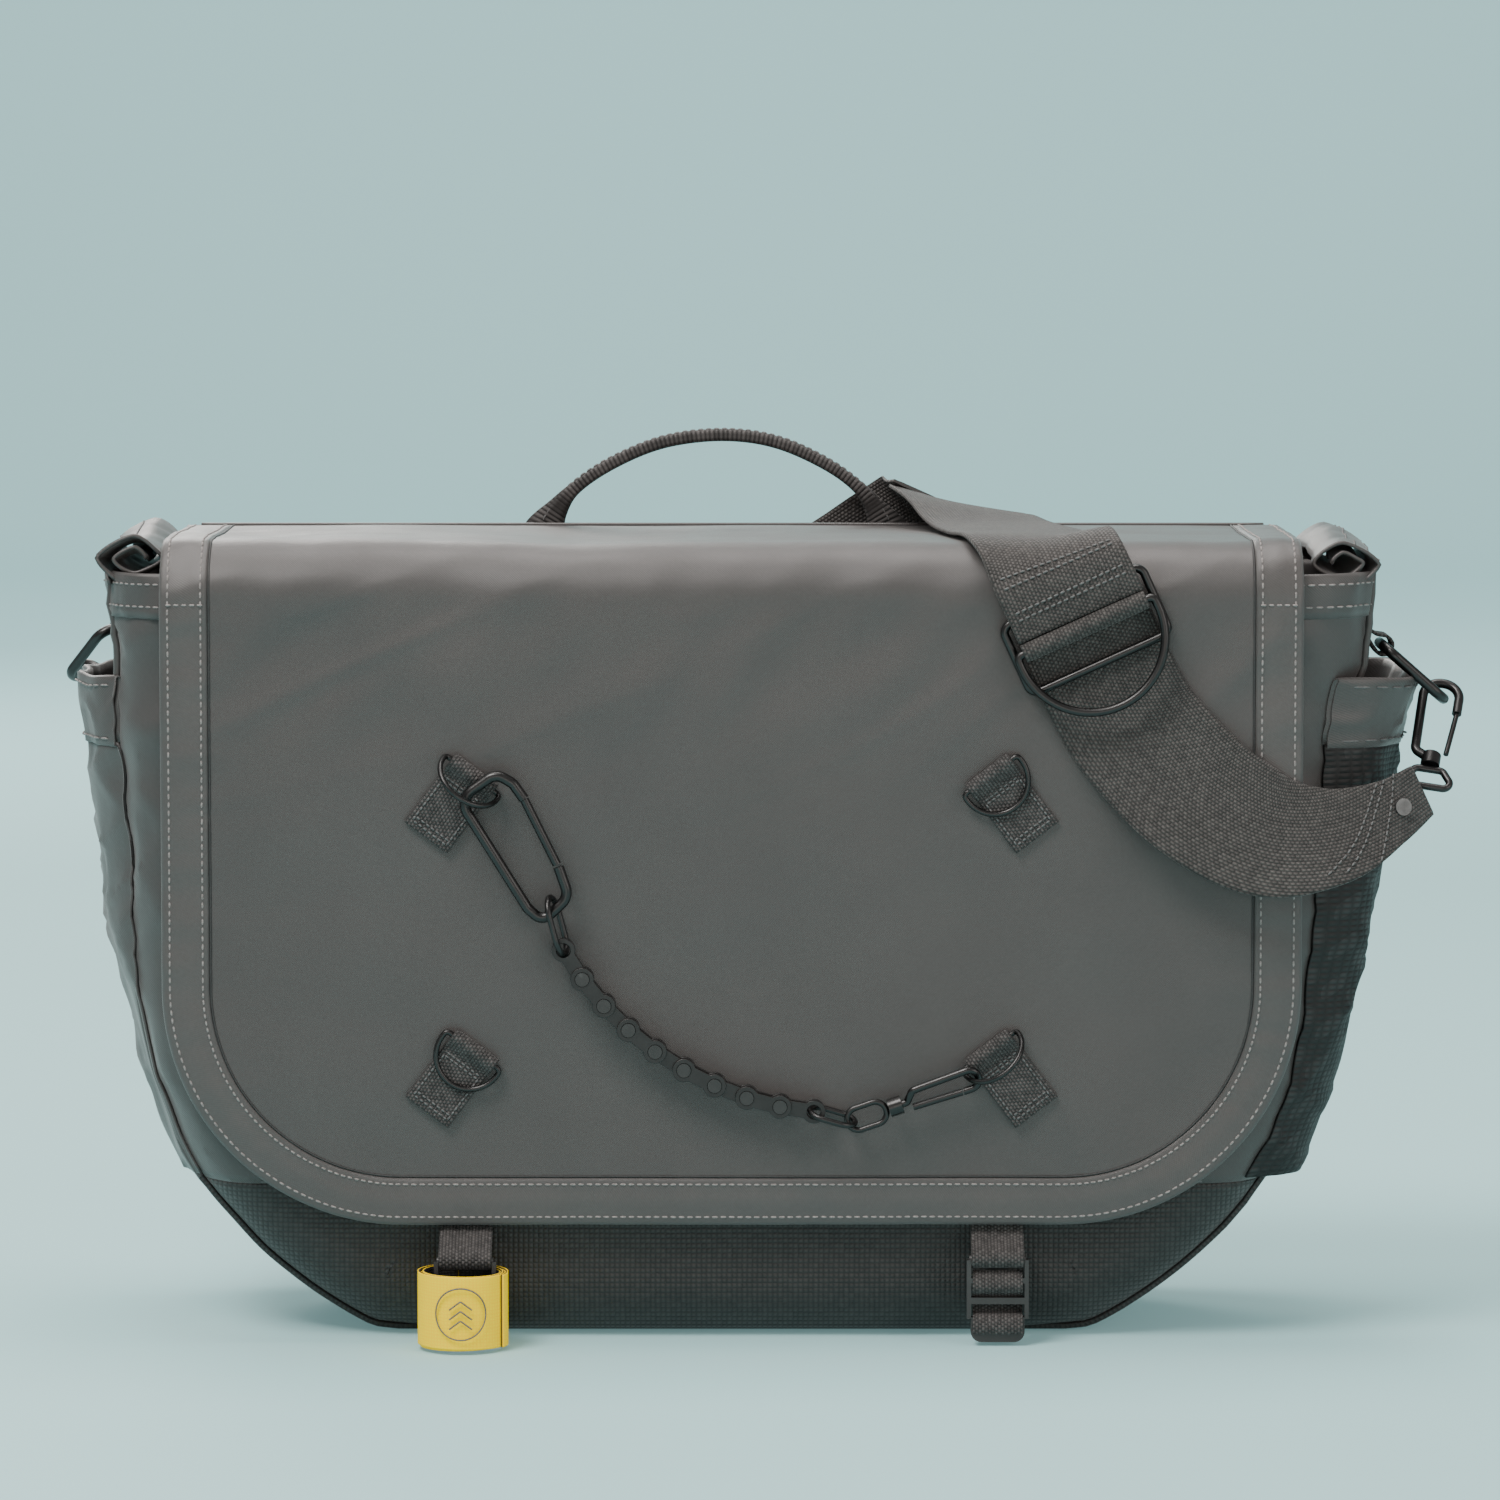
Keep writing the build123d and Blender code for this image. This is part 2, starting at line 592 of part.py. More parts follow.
with BuildPart() as strap_fold:
    start = Vector(*STRAP_RING_AT) - STRAP_ACROSS * 24.6
    with BuildSketch(Plane(origin=start, z_dir=STRAP_ACROSS)):
        Circle(SLIDER_WIRE + 0.2 + WEB_T)
        Circle(SLIDER_WIRE + 0.2, mode=Mode.SUBTRACT)
    extrude(amount=49.2)
    add(ribbon(FRONT_RUN).part, mode=Mode.SUBTRACT)
save(strap_fold, "strap_fold")

rivet_at = Vector(248.0, -64.2, 199.4)
rivet_face = Vector(0.35, -0.90, 0.1).normalized()
with BuildPart() as strap_rivet:
    with BuildSketch(Plane(origin=rivet_at + rivet_face * 1.2, z_dir=rivet_face)):
        Circle(3.2)
    extrude(amount=1.4)
save(strap_rivet, "strap_rivet")

# ---- Side rings and strap hooks -------------------------------------------------------------------


def save_pair(builder, name, trimmed=False):
    """Save a right-hand fitting, and the same fitting turned round to the rear left corner."""
    save(builder, f"{name}_right")
    with BuildPart() as left:
        add(builder.part.moved(LEFT_PLACE))
        if trimmed:
            add(outer_block.part, mode=Mode.SUBTRACT)
    save(left, f"{name}_left")


left_turn = radians(LEFT_TURN)
left_shift = (
    LEFT_CORNER[0] - RIGHT_CORNER[0] * cos(left_turn) + RIGHT_CORNER[1] * sin(left_turn),
    LEFT_CORNER[1] - RIGHT_CORNER[0] * sin(left_turn) - RIGHT_CORNER[1] * cos(left_turn),
    0,
)
LEFT_PLACE = Location(left_shift, (0, 0, LEFT_TURN))

ring_top = Vector(*SIDE_RING_TOP)
ring_hang = Vector(0.75, 0, -0.66)
with BuildPart() as side_ring:
    with BuildSketch(Plane.XY) as ring_flat:
        RectangleRounded(2 * SIDE_RING_HALF, SIDE_RING_LENGTH, 6)
    ring_plane = Plane(origin=ring_top + ring_hang * SIDE_RING_LENGTH / 2, x_dir=(0, 1, 0),
                       z_dir=Vector(0, 1, 0).cross(ring_hang))
    add(tube(ring_plane.from_local_coords(ring_flat.sketch.faces()[0].outer_wire()), SIDE_RING_WIRE).part)
save_pair(side_ring, "side_ring")

LOOP_WIDE, LOOP_BORE = 16.0, SIDE_RING_WIRE + 0.2
with BuildPart() as ring_loop:
    with BuildSketch(Plane(origin=ring_top - Vector(0, LOOP_WIDE / 2, 0), z_dir=(0, 1, 0))):
        Circle(SIDE_RING_WIRE + 2.0)
        Circle(LOOP_BORE, mode=Mode.SUBTRACT)
    extrude(amount=LOOP_WIDE)
    with Locations((233.0, SIDE_RING_TOP[1], 267.0)):
        Box(4.0, LOOP_WIDE, 16.0)
    with Locations((238.0, SIDE_RING_TOP[1], 260.6)):
        Box(13.0, LOOP_WIDE, 2.6)
    add(outer_block.part, mode=Mode.SUBTRACT)
    with BuildSketch(Plane(origin=ring_top - Vector(0, LOOP_WIDE / 2 + 1, 0), z_dir=(0, 1, 0))):
        Circle(LOOP_BORE)
    extrude(amount=LOOP_WIDE + 2, mode=Mode.SUBTRACT)
save_pair(ring_loop, "side_ring_tab", trimmed=True)

ring_low = ring_top + ring_hang * SIDE_RING_LENGTH
strap_end = Vector(*STRAP_END)
pull = (ring_low - strap_end).normalized()
wide = (Vector(1, 0, 0) - pull * pull.X).normalized()
# x along the hook from the strap end to the ring, y across it
hook_frame = Plane(origin=strap_end, x_dir=pull, z_dir=pull.cross(wide))
reach = (ring_low - strap_end).length
with BuildPart() as strap_hook:
    with BuildLine(hook_frame) as hook_line:
        FilletPolyline(
            (11.0, 0), (14.5, -6.4), (reach + 6.2, -6.8), (reach + 6.2, 6.8), (reach - 7.0, 6.8),
            radius=[3.0, 6.5, 6.5])
    with BuildSketch(Plane(origin=hook_line.line @ 0, z_dir=hook_line.line % 0)):
        Circle(HOOK_WIRE)
    sweep()
    with BuildSketch(Plane(origin=hook_frame.from_local_coords((8.0, 0, 0)), z_dir=pull)):
        Circle(HOOK_SHANK_R)
    extrude(amount=5.0)
save_pair(strap_hook, "strap_hook")

gate_from = hook_frame.from_local_coords((14.2, 5.2, 0))
gate_to = hook_frame.from_local_coords((reach - 7.4, 6.8, 0))
with BuildPart() as hook_gate:
    with BuildSketch(Plane(origin=gate_from, z_dir=gate_to - gate_from)):
        Circle(HOOK_GATE_WIRE)
    extrude(amount=(gate_to - gate_from).length)
save_pair(hook_gate, "strap_hook_gate")

with BuildPart() as hook_eye:
    with BuildLine(hook_frame) as eye_line:
        FilletPolyline((-1.5, -10.5), (-1.5, 10.5), (6.4, 5.0), (6.4, -5.0), radius=2.5, close=True)
    with BuildSketch(Plane(origin=eye_line.line @ 0, z_dir=eye_line.line % 0)):
        Circle(HOOK_EYE_WIRE)
    sweep()
save_pair(hook_eye, "strap_hook_eye")

# ---- Lash straps, buckles and the slap band -------------------------------------------------------

for side, word in ((-1, "left"), (1, "right")):
    x = side * LASH_X
    y = BUCKLE_Y[word]
    bar = (x, y, BUCKLE_TOP_Z)
    with BuildPart() as lash_strap:
        with BuildSketch(Plane.YZ.offset(x - SMALL_WEB / 2)):
            with BuildLine():
                Polyline((-64.0, 96.0), (-65.6, 96.0), (-65.6, 43.6), (y - 0.5, BUCKLE_TOP_Z + 3.0),
                         (y + 2.2, BUCKLE_TOP_Z + 1.6), (-64.0, 41.5), close=True)
            make_face()
        extrude(amount=SMALL_WEB)
        with BuildSketch(Plane.YZ.offset(x - SMALL_WEB / 2)):
            with Locations((y, BUCKLE_TOP_Z)):
                Circle(3.0)
        extrude(amount=SMALL_WEB)
        with BuildSketch(Plane.YZ.offset(x - SMALL_WEB / 2)):
            with Locations((y, BUCKLE_TOP_Z)):
                Circle(1.7)
        extrude(amount=SMALL_WEB, mode=Mode.SUBTRACT)
    save(lash_strap, f"lash_strap_{word}")

    low_z = BUCKLE_TOP_Z - BUCKLE_LENGTH
    with BuildPart() as buckle:
        with BuildSketch(Plane(origin=(x, y + BUCKLE_T / 2, 0), x_dir=(1, 0, 0), z_dir=(0, -1, 0))):
            with Locations((0, low_z + 9 + (BUCKLE_LENGTH - 9) / 2)):
                Rectangle(2 * BUCKLE_HALF, BUCKLE_LENGTH - 9)
            with Locations((0, low_z + 6)):
                RectangleRounded(2 * BUCKLE_HALF - 3, 11.5, 4)
            for height, tall in ((27.4, 6.4), (19.6, 5.4), (12.0, 5.0)):
                with Locations((0, low_z + height)):
                    Rectangle(2 * BUCKLE_HALF - 3.2, tall, mode=Mode.SUBTRACT)
        extrude(amount=BUCKLE_T)
        with Locations((x, y, BUCKLE_TOP_Z + 0.2)):
            Box(2 * BUCKLE_HALF - 3.2, BUCKLE_T + 2, 2 * 3.2, mode=Mode.SUBTRACT)
        with BuildSketch(Plane.YZ.offset(x - BUCKLE_HALF + 1)):
            with Locations((y, BUCKLE_TOP_Z)):
                Circle(1.5)
        extrude(amount=2 * BUCKLE_HALF - 2)
    save(buckle, f"lash_buckle_{word}")

with BuildPart() as slap_band:
    with BuildSketch(Plane.XY.offset(BAND_LOW)):
        with Locations(BAND_AT):
            Circle(BAND_R)
            Circle(BAND_BORE, mode=Mode.SUBTRACT)
    extrude(amount=BAND_HIGH - BAND_LOW)
save(slap_band, "slap_band")

# ---- Grab handle ---------------------------------------------------------------------------------

handle_plane = Plane(origin=(HANDLE_X, HANDLE_Y, 0), x_dir=(1, 0, 0), z_dir=(0, -1, 0))
with BuildPart() as grab_handle:
    with BuildLine(handle_plane) as handle_line:
        left_base, right_base = (-HANDLE_BASE_HALF, 294.5), (HANDLE_BASE_HALF, 294.5)
        left_neck, right_neck = (-HANDLE_NECK_HALF, HANDLE_NECK_Z), (HANDLE_NECK_HALF, HANDLE_NECK_Z)
        Spline(left_base, left_neck, (0, HANDLE_TOP), right_neck, right_base)
    with BuildSketch(Plane(origin=handle_line.line @ 0, x_dir=(0, 1, 0), z_dir=handle_line.line % 0)):
        RectangleRounded(HANDLE_DEEP, HANDLE_THICK, 1.5)
    sweep()
save(grab_handle, "grab_handle")
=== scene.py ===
import json
import math
from functools import partialmethod

import bmesh
import bpy
import numpy as np
from mathutils import Matrix, Vector, noise


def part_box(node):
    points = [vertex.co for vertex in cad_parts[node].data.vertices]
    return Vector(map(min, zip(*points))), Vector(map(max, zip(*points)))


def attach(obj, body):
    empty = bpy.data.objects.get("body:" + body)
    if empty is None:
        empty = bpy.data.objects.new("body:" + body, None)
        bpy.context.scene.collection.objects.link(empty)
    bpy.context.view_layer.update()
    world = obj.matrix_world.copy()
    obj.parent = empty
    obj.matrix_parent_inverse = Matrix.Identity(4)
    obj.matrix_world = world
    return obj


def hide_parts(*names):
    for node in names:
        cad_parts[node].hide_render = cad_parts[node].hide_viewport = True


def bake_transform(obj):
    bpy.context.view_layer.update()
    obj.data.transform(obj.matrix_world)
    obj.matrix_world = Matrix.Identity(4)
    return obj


MM = 0.001
UV_SCALE = 0.1  # UV units are centimetres
TAU = 2 * math.pi
REST = "root"  # the body that stands still
SIDES = ((-1, "left"), (1, "right"))

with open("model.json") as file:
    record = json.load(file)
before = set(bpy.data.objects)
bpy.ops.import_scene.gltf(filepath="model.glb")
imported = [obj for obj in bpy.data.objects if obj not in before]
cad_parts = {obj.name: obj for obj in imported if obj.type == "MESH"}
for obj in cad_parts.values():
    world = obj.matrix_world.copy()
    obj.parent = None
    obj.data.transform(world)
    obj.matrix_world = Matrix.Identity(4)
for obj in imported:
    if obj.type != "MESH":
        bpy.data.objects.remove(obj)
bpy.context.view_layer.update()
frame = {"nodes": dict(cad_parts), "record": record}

# ---- Camera ----

AIM = Vector((0.0068, -0.072, 0.2213))
RANGE, ELEVATION = 2.6, math.radians(5.0)
SENSOR, LENS, FAR_CLIP = 36.0, 169.0, 30.0
camera = bpy.data.objects.new("camera", bpy.data.cameras.new("camera"))
bpy.context.scene.collection.objects.link(camera)
bpy.context.scene.camera = camera
camera.data.sensor_width, camera.data.lens, camera.data.clip_end = SENSOR, LENS, FAR_CLIP
back = Vector((0.0, -math.cos(ELEVATION), math.sin(ELEVATION)))
camera.location = AIM + back * RANGE
camera.rotation_euler = (-back).to_track_quat("-Z", "Y").to_euler()

# ---- Node helpers ----


class Val:
    """A node socket that builds math nodes when it is used in arithmetic."""

    def __init__(self, tree, socket):
        self.tree, self.socket = tree, socket

    def _math(self, operation, other=None):
        node = self.tree.nodes.new("ShaderNodeMath")
        node.operation = operation
        self.tree.links.new(self.socket, node.inputs[0])
        if isinstance(other, Val):
            self.tree.links.new(other.socket, node.inputs[1])
        elif other is not None:
            node.inputs[1].default_value = other
        return Val(self.tree, node.outputs[0])

    __add__ = partialmethod(_math, "ADD")
    __sub__ = partialmethod(_math, "SUBTRACT")
    __mul__ = partialmethod(_math, "MULTIPLY")
    above = partialmethod(_math, "GREATER_THAN")
    modulo = partialmethod(_math, "FLOORED_MODULO")
    floor = partialmethod(_math, "FLOOR")
    absolute = partialmethod(_math, "ABSOLUTE")
    sin = partialmethod(_math, "SINE")


class Shader:
    """A principled material with UV and object coordinates at hand."""

    def __init__(self, name, rough=0.5, metallic=0.0, specular=0.5, sheen=0.0, coat=0.0):
        self.material = bpy.data.materials.new(name)
        self.material.use_nodes = True
        self.tree = self.material.node_tree
        self.link = self.tree.links.new
        self.bsdf = self.tree.nodes["Principled BSDF"]
        settings = {"Roughness": rough, "Metallic": metallic, "Specular IOR Level": specular,
                    "Sheen Weight": sheen, "Coat Weight": coat}
        for socket, value in settings.items():
            self.bsdf.inputs[socket].default_value = value
        self.coords = self.tree.nodes.new("ShaderNodeTexCoord")
        split = self.tree.nodes.new("ShaderNodeSeparateXYZ")
        self.link(self.coords.outputs["UV"], split.inputs[0])
        self.u = Val(self.tree, split.outputs[0]) * (1 / UV_SCALE)
        self.v = Val(self.tree, split.outputs[1]) * (1 / UV_SCALE)

    def noise(self, scale, detail=3.0):
        node = self.tree.nodes.new("ShaderNodeTexNoise")
        node.inputs["Scale"].default_value = scale
        node.inputs["Detail"].default_value = detail
        node.inputs["Roughness"].default_value = 0.55
        self.link(self.coords.outputs["Object"], node.inputs["Vector"])
        return Val(self.tree, node.outputs["Fac"])

    def dots(self, pitch):
        """Round spots on a square grid, 0 between them and 1 at their tops."""
        return ((self.u * (math.pi / pitch)).sin() * (self.v * (math.pi / pitch)).sin()).absolute()

    def cells(self, u, v):
        """A random number for each whole-number cell of u, v."""
        join = self.tree.nodes.new("ShaderNodeCombineXYZ")
        self.link(u.floor().socket, join.inputs[0])
        self.link(v.floor().socket, join.inputs[1])
        node = self.tree.nodes.new("ShaderNodeTexWhiteNoise")
        node.noise_dimensions = "2D"
        self.link(join.outputs[0], node.inputs["Vector"])
        return Val(self.tree, node.outputs["Value"])

    def colour(self, value, stops):
        ramp = self.tree.nodes.new("ShaderNodeValToRGB")
        while len(ramp.color_ramp.elements) < len(stops):
            ramp.color_ramp.elements.new(0.5)
        for element, (at, shade) in zip(ramp.color_ramp.elements, stops):
            element.position = at
            element.color = (*shade, 1.0)
        self.link(value.socket, ramp.inputs[0])
        self.link(ramp.outputs[0], self.bsdf.inputs["Base Color"])

    def roughness(self, value):
        self.link(value.socket, self.bsdf.inputs["Roughness"])

    def bump(self, height, distance, strength):
        node = self.tree.nodes.new("ShaderNodeBump")
        node.inputs["Distance"].default_value = distance * MM
        node.inputs["Strength"].default_value = strength
        self.link(height.socket, node.inputs["Height"])
        self.link(node.outputs[0], self.bsdf.inputs["Normal"])


PLAIN, WARM, NEUTRAL = (1.0, 1.0, 1.0), (1.1, 1.0, 0.94), (1.09, 0.995, 0.965)


def shades(level, tint, *stops):
    """Colour ramp stops, each a place and a share of the level."""
    return [(at, tuple(level * share * t for t in tint)) for at, share in stops]


def satin_cloth(name, level, rough=0.42):
    """Smooth nylon twill: a fine diagonal rib under a soft satin shine."""
    s = Shader(name, rough=rough, specular=0.5, sheen=0.15)
    twill = ((s.u + s.v) * (TAU / 0.9)).sin() * 0.5 + 0.5
    cross = ((s.u - s.v) * (TAU / 0.9)).sin() * 0.5 + 0.5
    patch = s.noise(14.0, detail=4.0)
    fine = s.noise(900.0, detail=1.0)
    value = patch * 0.45 + fine * 0.35 + twill * 0.12
    s.colour(value, shades(level, NEUTRAL, (0.25, 0.78), (0.55, 1.0), (0.8, 1.25)))
    s.roughness(s.noise(40.0) * 0.25 + (rough - 0.1))
    s.bump(twill * 0.6 + cross * 0.25 + s.noise(260.0, detail=2.0) * 1.6, 0.12, 0.5)
    return s.material


def basket_cloth(name, level, pitch):
    """Coarse basket weave: raised dots with dark gaps between them."""
    s = Shader(name, rough=0.55, specular=0.45, sheen=0.1)
    dots = s.dots(pitch)
    thread = s.cells(s.u * (1 / pitch), s.v * (1 / pitch))
    value = dots * 0.6 + thread * 0.25 + s.noise(30.0) * 0.3
    s.colour(value, shades(level, WARM, (0.2, 0.3), (0.55, 1.0), (0.95, 2.0)))
    s.bump(dots + thread * 0.3, 0.35, 0.8)
    return s.material


def webbing(name, level, pitch, flecks, tint=WARM):
    """Woven strap: staggered ribs with pale flecks and a tight selvedge."""
    s = Shader(name, rough=0.62, specular=0.35, sheen=0.1)
    column = s.v * (1 / pitch)
    stagger = column.floor().modulo(2.0) * 0.5
    row = s.u * (1 / (pitch * 1.25)) + stagger
    rib, tuck = (column * math.pi).sin().absolute(), (row * math.pi).sin().absolute()
    fleck = s.cells(column, row)
    value = rib * tuck * 0.55 + fleck * flecks + s.noise(25.0) * 0.2
    s.colour(value, shades(level, tint, (0.1, 0.25), (0.5, 1.0), (1.0, 2.6)))
    s.bump(rib * tuck, 0.4, 0.9)
    return s.material


def figured_mesh(name):
    """Black net with a woven figure: small round holes between denser spots."""
    s = Shader(name, rough=0.6, specular=0.4)
    hole = s.dots(2.2)
    wave = ((s.u * (TAU / 17.0)).sin() * 3.0 + s.v) * (TAU / 15.0)
    figure = (wave.sin() * (s.u * (TAU / 13.0)).sin()).above(0.18)
    value = hole * 0.5 + figure * 0.35 + s.noise(60.0) * 0.15
    s.colour(value, shades(0.001, PLAIN, (0.15, 4.0), (0.5, 9.0), (0.9, 26.0)))
    s.bump(hole * 0.8 + figure * 0.5, 0.4, 0.9)
    return s.material


def coated_metal(name, level, rough, metallic):
    """Painted or plated metal with worn, paler specks."""
    s = Shader(name, rough=rough, metallic=metallic, specular=0.5)
    wear = s.noise(220.0, detail=4.0)
    s.colour(wear, shades(level, PLAIN, (0.35, 1.0), (0.62, 1.5), (0.8, 4.0)))
    s.roughness(s.noise(120.0) * 0.3 + (rough - 0.12))
    s.bump(s.noise(700.0, detail=2.0), 0.05, 0.3)
    return s.material


def moulded_plastic(name, level):
    """Plastic with a fine eggshell grain."""
    s = Shader(name, rough=0.45, specular=0.5)
    s.colour(s.noise(60.0), shades(level, PLAIN, (0.3, 1.0), (0.7, 1.7)))
    s.bump(s.noise(1800.0, detail=1.0), 0.06, 0.5)
    return s.material


def glossy_vinyl(name, low, high):
    """Prismatic reflective vinyl: fine bright cells under a clear coat, with a painted glow (an orange
    emission) that makes the band brighter than its lamps light it.
    """
    s = Shader(name, rough=0.5, specular=0.05, coat=0.02)
    cell = s.dots(1.3)
    s.colour(cell * 0.5 + s.noise(50.0) * 0.5, [(0.2, low), (0.8, high)])
    # Painted glow: the band gives off orange light, though it is no lamp, so that it looks brighter and more
    # yellow.
    s.bsdf.inputs["Emission Color"].default_value = (1.0, 0.64, 0.0, 1.0)
    s.bsdf.inputs["Emission Strength"].default_value = 0.22
    s.bump(cell, 0.08, 0.4)
    return s.material


def thread(name, level, tint=PLAIN):
    """Sewing thread."""
    s = Shader(name, rough=0.6, specular=0.4)
    s.colour(s.noise(1500.0, detail=1.0), shades(level, tint, (0.3, 0.7), (0.7, 1.2)))
    s.bump(s.noise(2500.0, detail=1.0), 0.06, 0.5)
    return s.material


MAT = {
    "bag_cloth": satin_cloth("bag_cloth_weave", 0.046),
    "flap_cloth": satin_cloth("flap_cloth_weave", 0.048),
    "binding_cloth": satin_cloth("binding_cloth_weave", 0.056, rough=0.4),
    "ballistic_cloth": basket_cloth("ballistic_cloth_weave", 0.014, 1.9),
    "pocket_mesh": figured_mesh("pocket_mesh_weave"),
    "strap_webbing": webbing("strap_webbing_weave", 0.034, 1.3, 0.28),
    "tab_webbing": webbing("tab_webbing_weave", 0.034, 1.2, 0.35, NEUTRAL),
    "handle_webbing": webbing("handle_webbing_weave", 0.026, 1.4, 0.3, NEUTRAL),
    "black_metal": coated_metal("black_metal_coat", 0.002, rough=0.3, metallic=0.0),
    "chain_steel": coated_metal("chain_steel_coat", 0.0015, rough=0.4, metallic=0.0),
    "chain_pin": coated_metal("chain_pin_coat", 0.014, rough=0.3, metallic=0.2),
    "rivet_metal": coated_metal("rivet_metal_face", 0.09, rough=0.34, metallic=0.8),
    "buckle_plastic": moulded_plastic("buckle_plastic_face", 0.018),
    "band_vinyl": glossy_vinyl("band_vinyl_face", (0.9, 0.58, 0.0), (1.0, 0.68, 0.0)),
    "band_back": basket_cloth("band_back_weave", 0.015, 1.2),
    "band_print": thread("band_print_ink", 0.12),
    "pale_thread": thread("pale_thread_twist", 0.22, NEUTRAL),
    # Painted shade: a near-black material used only for the cord that stands for the shade in the flap
    # binding's inner groove.
    "painted_groove_shade": thread("groove_shade_paint", 0.03),
    "grey_thread": thread("grey_thread_twist", 0.11),
    "stiffener_board": moulded_plastic("stiffener_board_face", 0.06),
}

# ---- Mesh helpers ----


def vec(*parts):
    return np.array(parts, float)


def unit(v):
    v = np.asarray(v, float)
    return v / np.maximum(np.linalg.norm(v, axis=-1, keepdims=True), 1e-9)


def clamp(value):
    return min(1.0, max(0.0, value))


def distances(points):
    """Distance along a path from its first point to each of its points."""
    return np.r_[0, np.cumsum(np.linalg.norm(np.diff(points, axis=0), axis=1))]


def between(s, at, table):
    """The columns of a table at distance s, where its rows lie at the distances at."""
    return np.array([np.interp(s, at, column) for column in np.asarray(table).T])


def put(name, verts, faces, loop_uvs, material, body=None):
    mesh = bpy.data.meshes.new(name)
    mesh.from_pydata([tuple(v) for v in np.asarray(verts) * MM], [], faces)
    layer = mesh.uv_layers.new(name="UVMap")
    layer.data.foreach_set("uv", (np.asarray(loop_uvs, float) * UV_SCALE).ravel())
    mesh.materials.append(MAT[material])
    mesh.polygons.foreach_set("use_smooth", [True] * len(faces))
    mesh.validate()
    mesh.update()
    piece = bpy.data.objects.new(name, mesh)
    bpy.context.scene.collection.objects.link(piece)
    if body:
        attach(piece, body)
    return piece


def grid_faces(rows, columns, closed=False, offset=0):
    """Quads of a grid, and each corner's grid index for its UV."""
    faces, corners = [], []
    for i in range(rows - 1):
        for j in range(columns if closed else columns - 1):
            k = (j + 1) % columns
            faces.append((offset + i * columns + j, offset + i * columns + k,
                          offset + (i + 1) * columns + k, offset + (i + 1) * columns + j))
            corners.extend(((i, j), (i, j + 1), (i + 1, j + 1), (i + 1, j)))
    return faces, corners


def grid_piece(name, points, uv, material, body=None, closed=False):
    """points is rows x columns x 3 in mm, uv rows x columns(+1 if closed) x 2 in mm."""
    points, uv = np.asarray(points, float), np.asarray(uv, float)
    rows, columns = points.shape[:2]
    faces, corners = grid_faces(rows, columns, closed)
    return put(name, points.reshape(-1, 3), faces, [uv[i, j] for i, j in corners], material, body)


HEART = vec(0.0, 0.0, 0.15)  # the bag's middle, in metres


def inward(piece, thickness):
    """Gives a skin its thickness on the side of the bag's middle."""
    mesh = piece.data
    facing = sum(f.area * np.dot(f.normal, np.array(f.center) - HEART) for f in mesh.polygons)
    return solid(piece, thickness, -1.0 if facing > 0 else 1.0)


def solid(piece, thickness, offset=-1.0):
    """Gives a skin its thickness."""
    m = piece.modifiers.new("thickness", "SOLIDIFY")
    m.thickness = thickness * MM
    m.offset = offset
    m.use_even_offset = False
    return piece


def spline(points, count):
    """Catmull-Rom curve through points of any dimension, spaced evenly along its length."""
    p = np.asarray(points, float)
    p = np.vstack([2 * p[0] - p[1], p, 2 * p[-1] - p[-2]])
    fine = []
    for i in range(1, len(p) - 2):
        for t in np.linspace(0, 1, 24, endpoint=False):
            a, b, c, d = p[i - 1], p[i], p[i + 1], p[i + 2]
            fine.append(0.5 * (2 * b + (c - a) * t + (2 * a - 5 * b + 4 * c - d) * t * t
                               + (3 * b - a - 3 * c + d) * t ** 3))
    fine.append(p[-2])
    fine = np.array(fine)
    step = distances(fine[:, :3])
    at = np.linspace(0, step[-1], count)
    return between(at, step, fine).T, at


def wobble(p, scale, seed=0.0):
    return noise.noise(Vector((p[0] / scale + seed, p[1] / scale, p[2] / scale)))


class Ribbon:
    """A flat woven strap through stations of centre, width direction and half width."""

    def __init__(self, stations, thickness, count=120, swell=None):
        swell = swell or [1.0] * len(stations)
        table = [[*c, *unit(w), h, k] for (c, w, h), k in zip(stations, swell)]
        rows, self.at = spline(table, count)
        self.swell = rows[:, 7]
        self.centre, self.wide, self.half = rows[:, :3], unit(rows[:, 3:6]), rows[:, 6]
        ahead = unit(np.gradient(self.centre, axis=0))
        self.up = unit(np.cross(ahead, self.wide))
        self.wide = unit(np.cross(self.up, ahead))
        self.thickness = thickness

    def length(self):
        return self.at[-1]

    def point(self, s, across, lift=0.0):
        """A point on the outer face, across in mm from the middle, lift above the face."""
        centre, wide, up = (between(s, self.at, table) for table in (self.centre, self.wide, self.up))
        return centre + wide * across + unit(up) * (self.thickness / 2 + lift)

    def piece(self, name, material, body=None, wave=0.0, seed=0.0):
        half_t, cols = self.thickness / 2, 20
        xs = np.cos(np.linspace(math.pi, 0, cols + 1)) * 0.4 + np.linspace(-1, 1, cols + 1) * 0.6
        ring = [(x, 1.0) for x in xs] + [(1.006, 0.35), (1.006, -0.35)]
        ring += [(-x, -y) for x, y in ring]
        points, uv = [], []
        for i in range(len(self.at)):
            row = []
            for x, h in ring:
                sag = wave * wobble((self.at[i], x * 30, seed), 26.0, seed) * (0.4 + abs(x))
                rise = h * half_t * self.swell[i] * (1.0 if abs(x) < 0.93 else 0.8) + sag
                row.append(self.centre[i] + self.wide[i] * x * self.half[i] + self.up[i] * rise)
            points.append(row)
            uv.append([(self.at[i], x * self.half[i]) for x, _ in ring + ring[:1]])
        made = grid_piece(name, points, uv, material, closed=True)
        cap_ends(made.data, len(ring))
        if body:
            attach(made, body)
        return made


def cap_ends(mesh, ring):
    """Closes the two ends of a tube made row by row."""
    work = bmesh.new()
    work.from_mesh(mesh)
    work.verts.ensure_lookup_table()
    count = len(work.verts)
    work.faces.new([work.verts[i] for i in range(ring)][::-1]).smooth = False
    work.faces.new([work.verts[i] for i in range(count - ring, count)]).smooth = False
    bmesh.ops.recalc_face_normals(work, faces=work.faces)
    work.to_mesh(mesh)
    work.free()


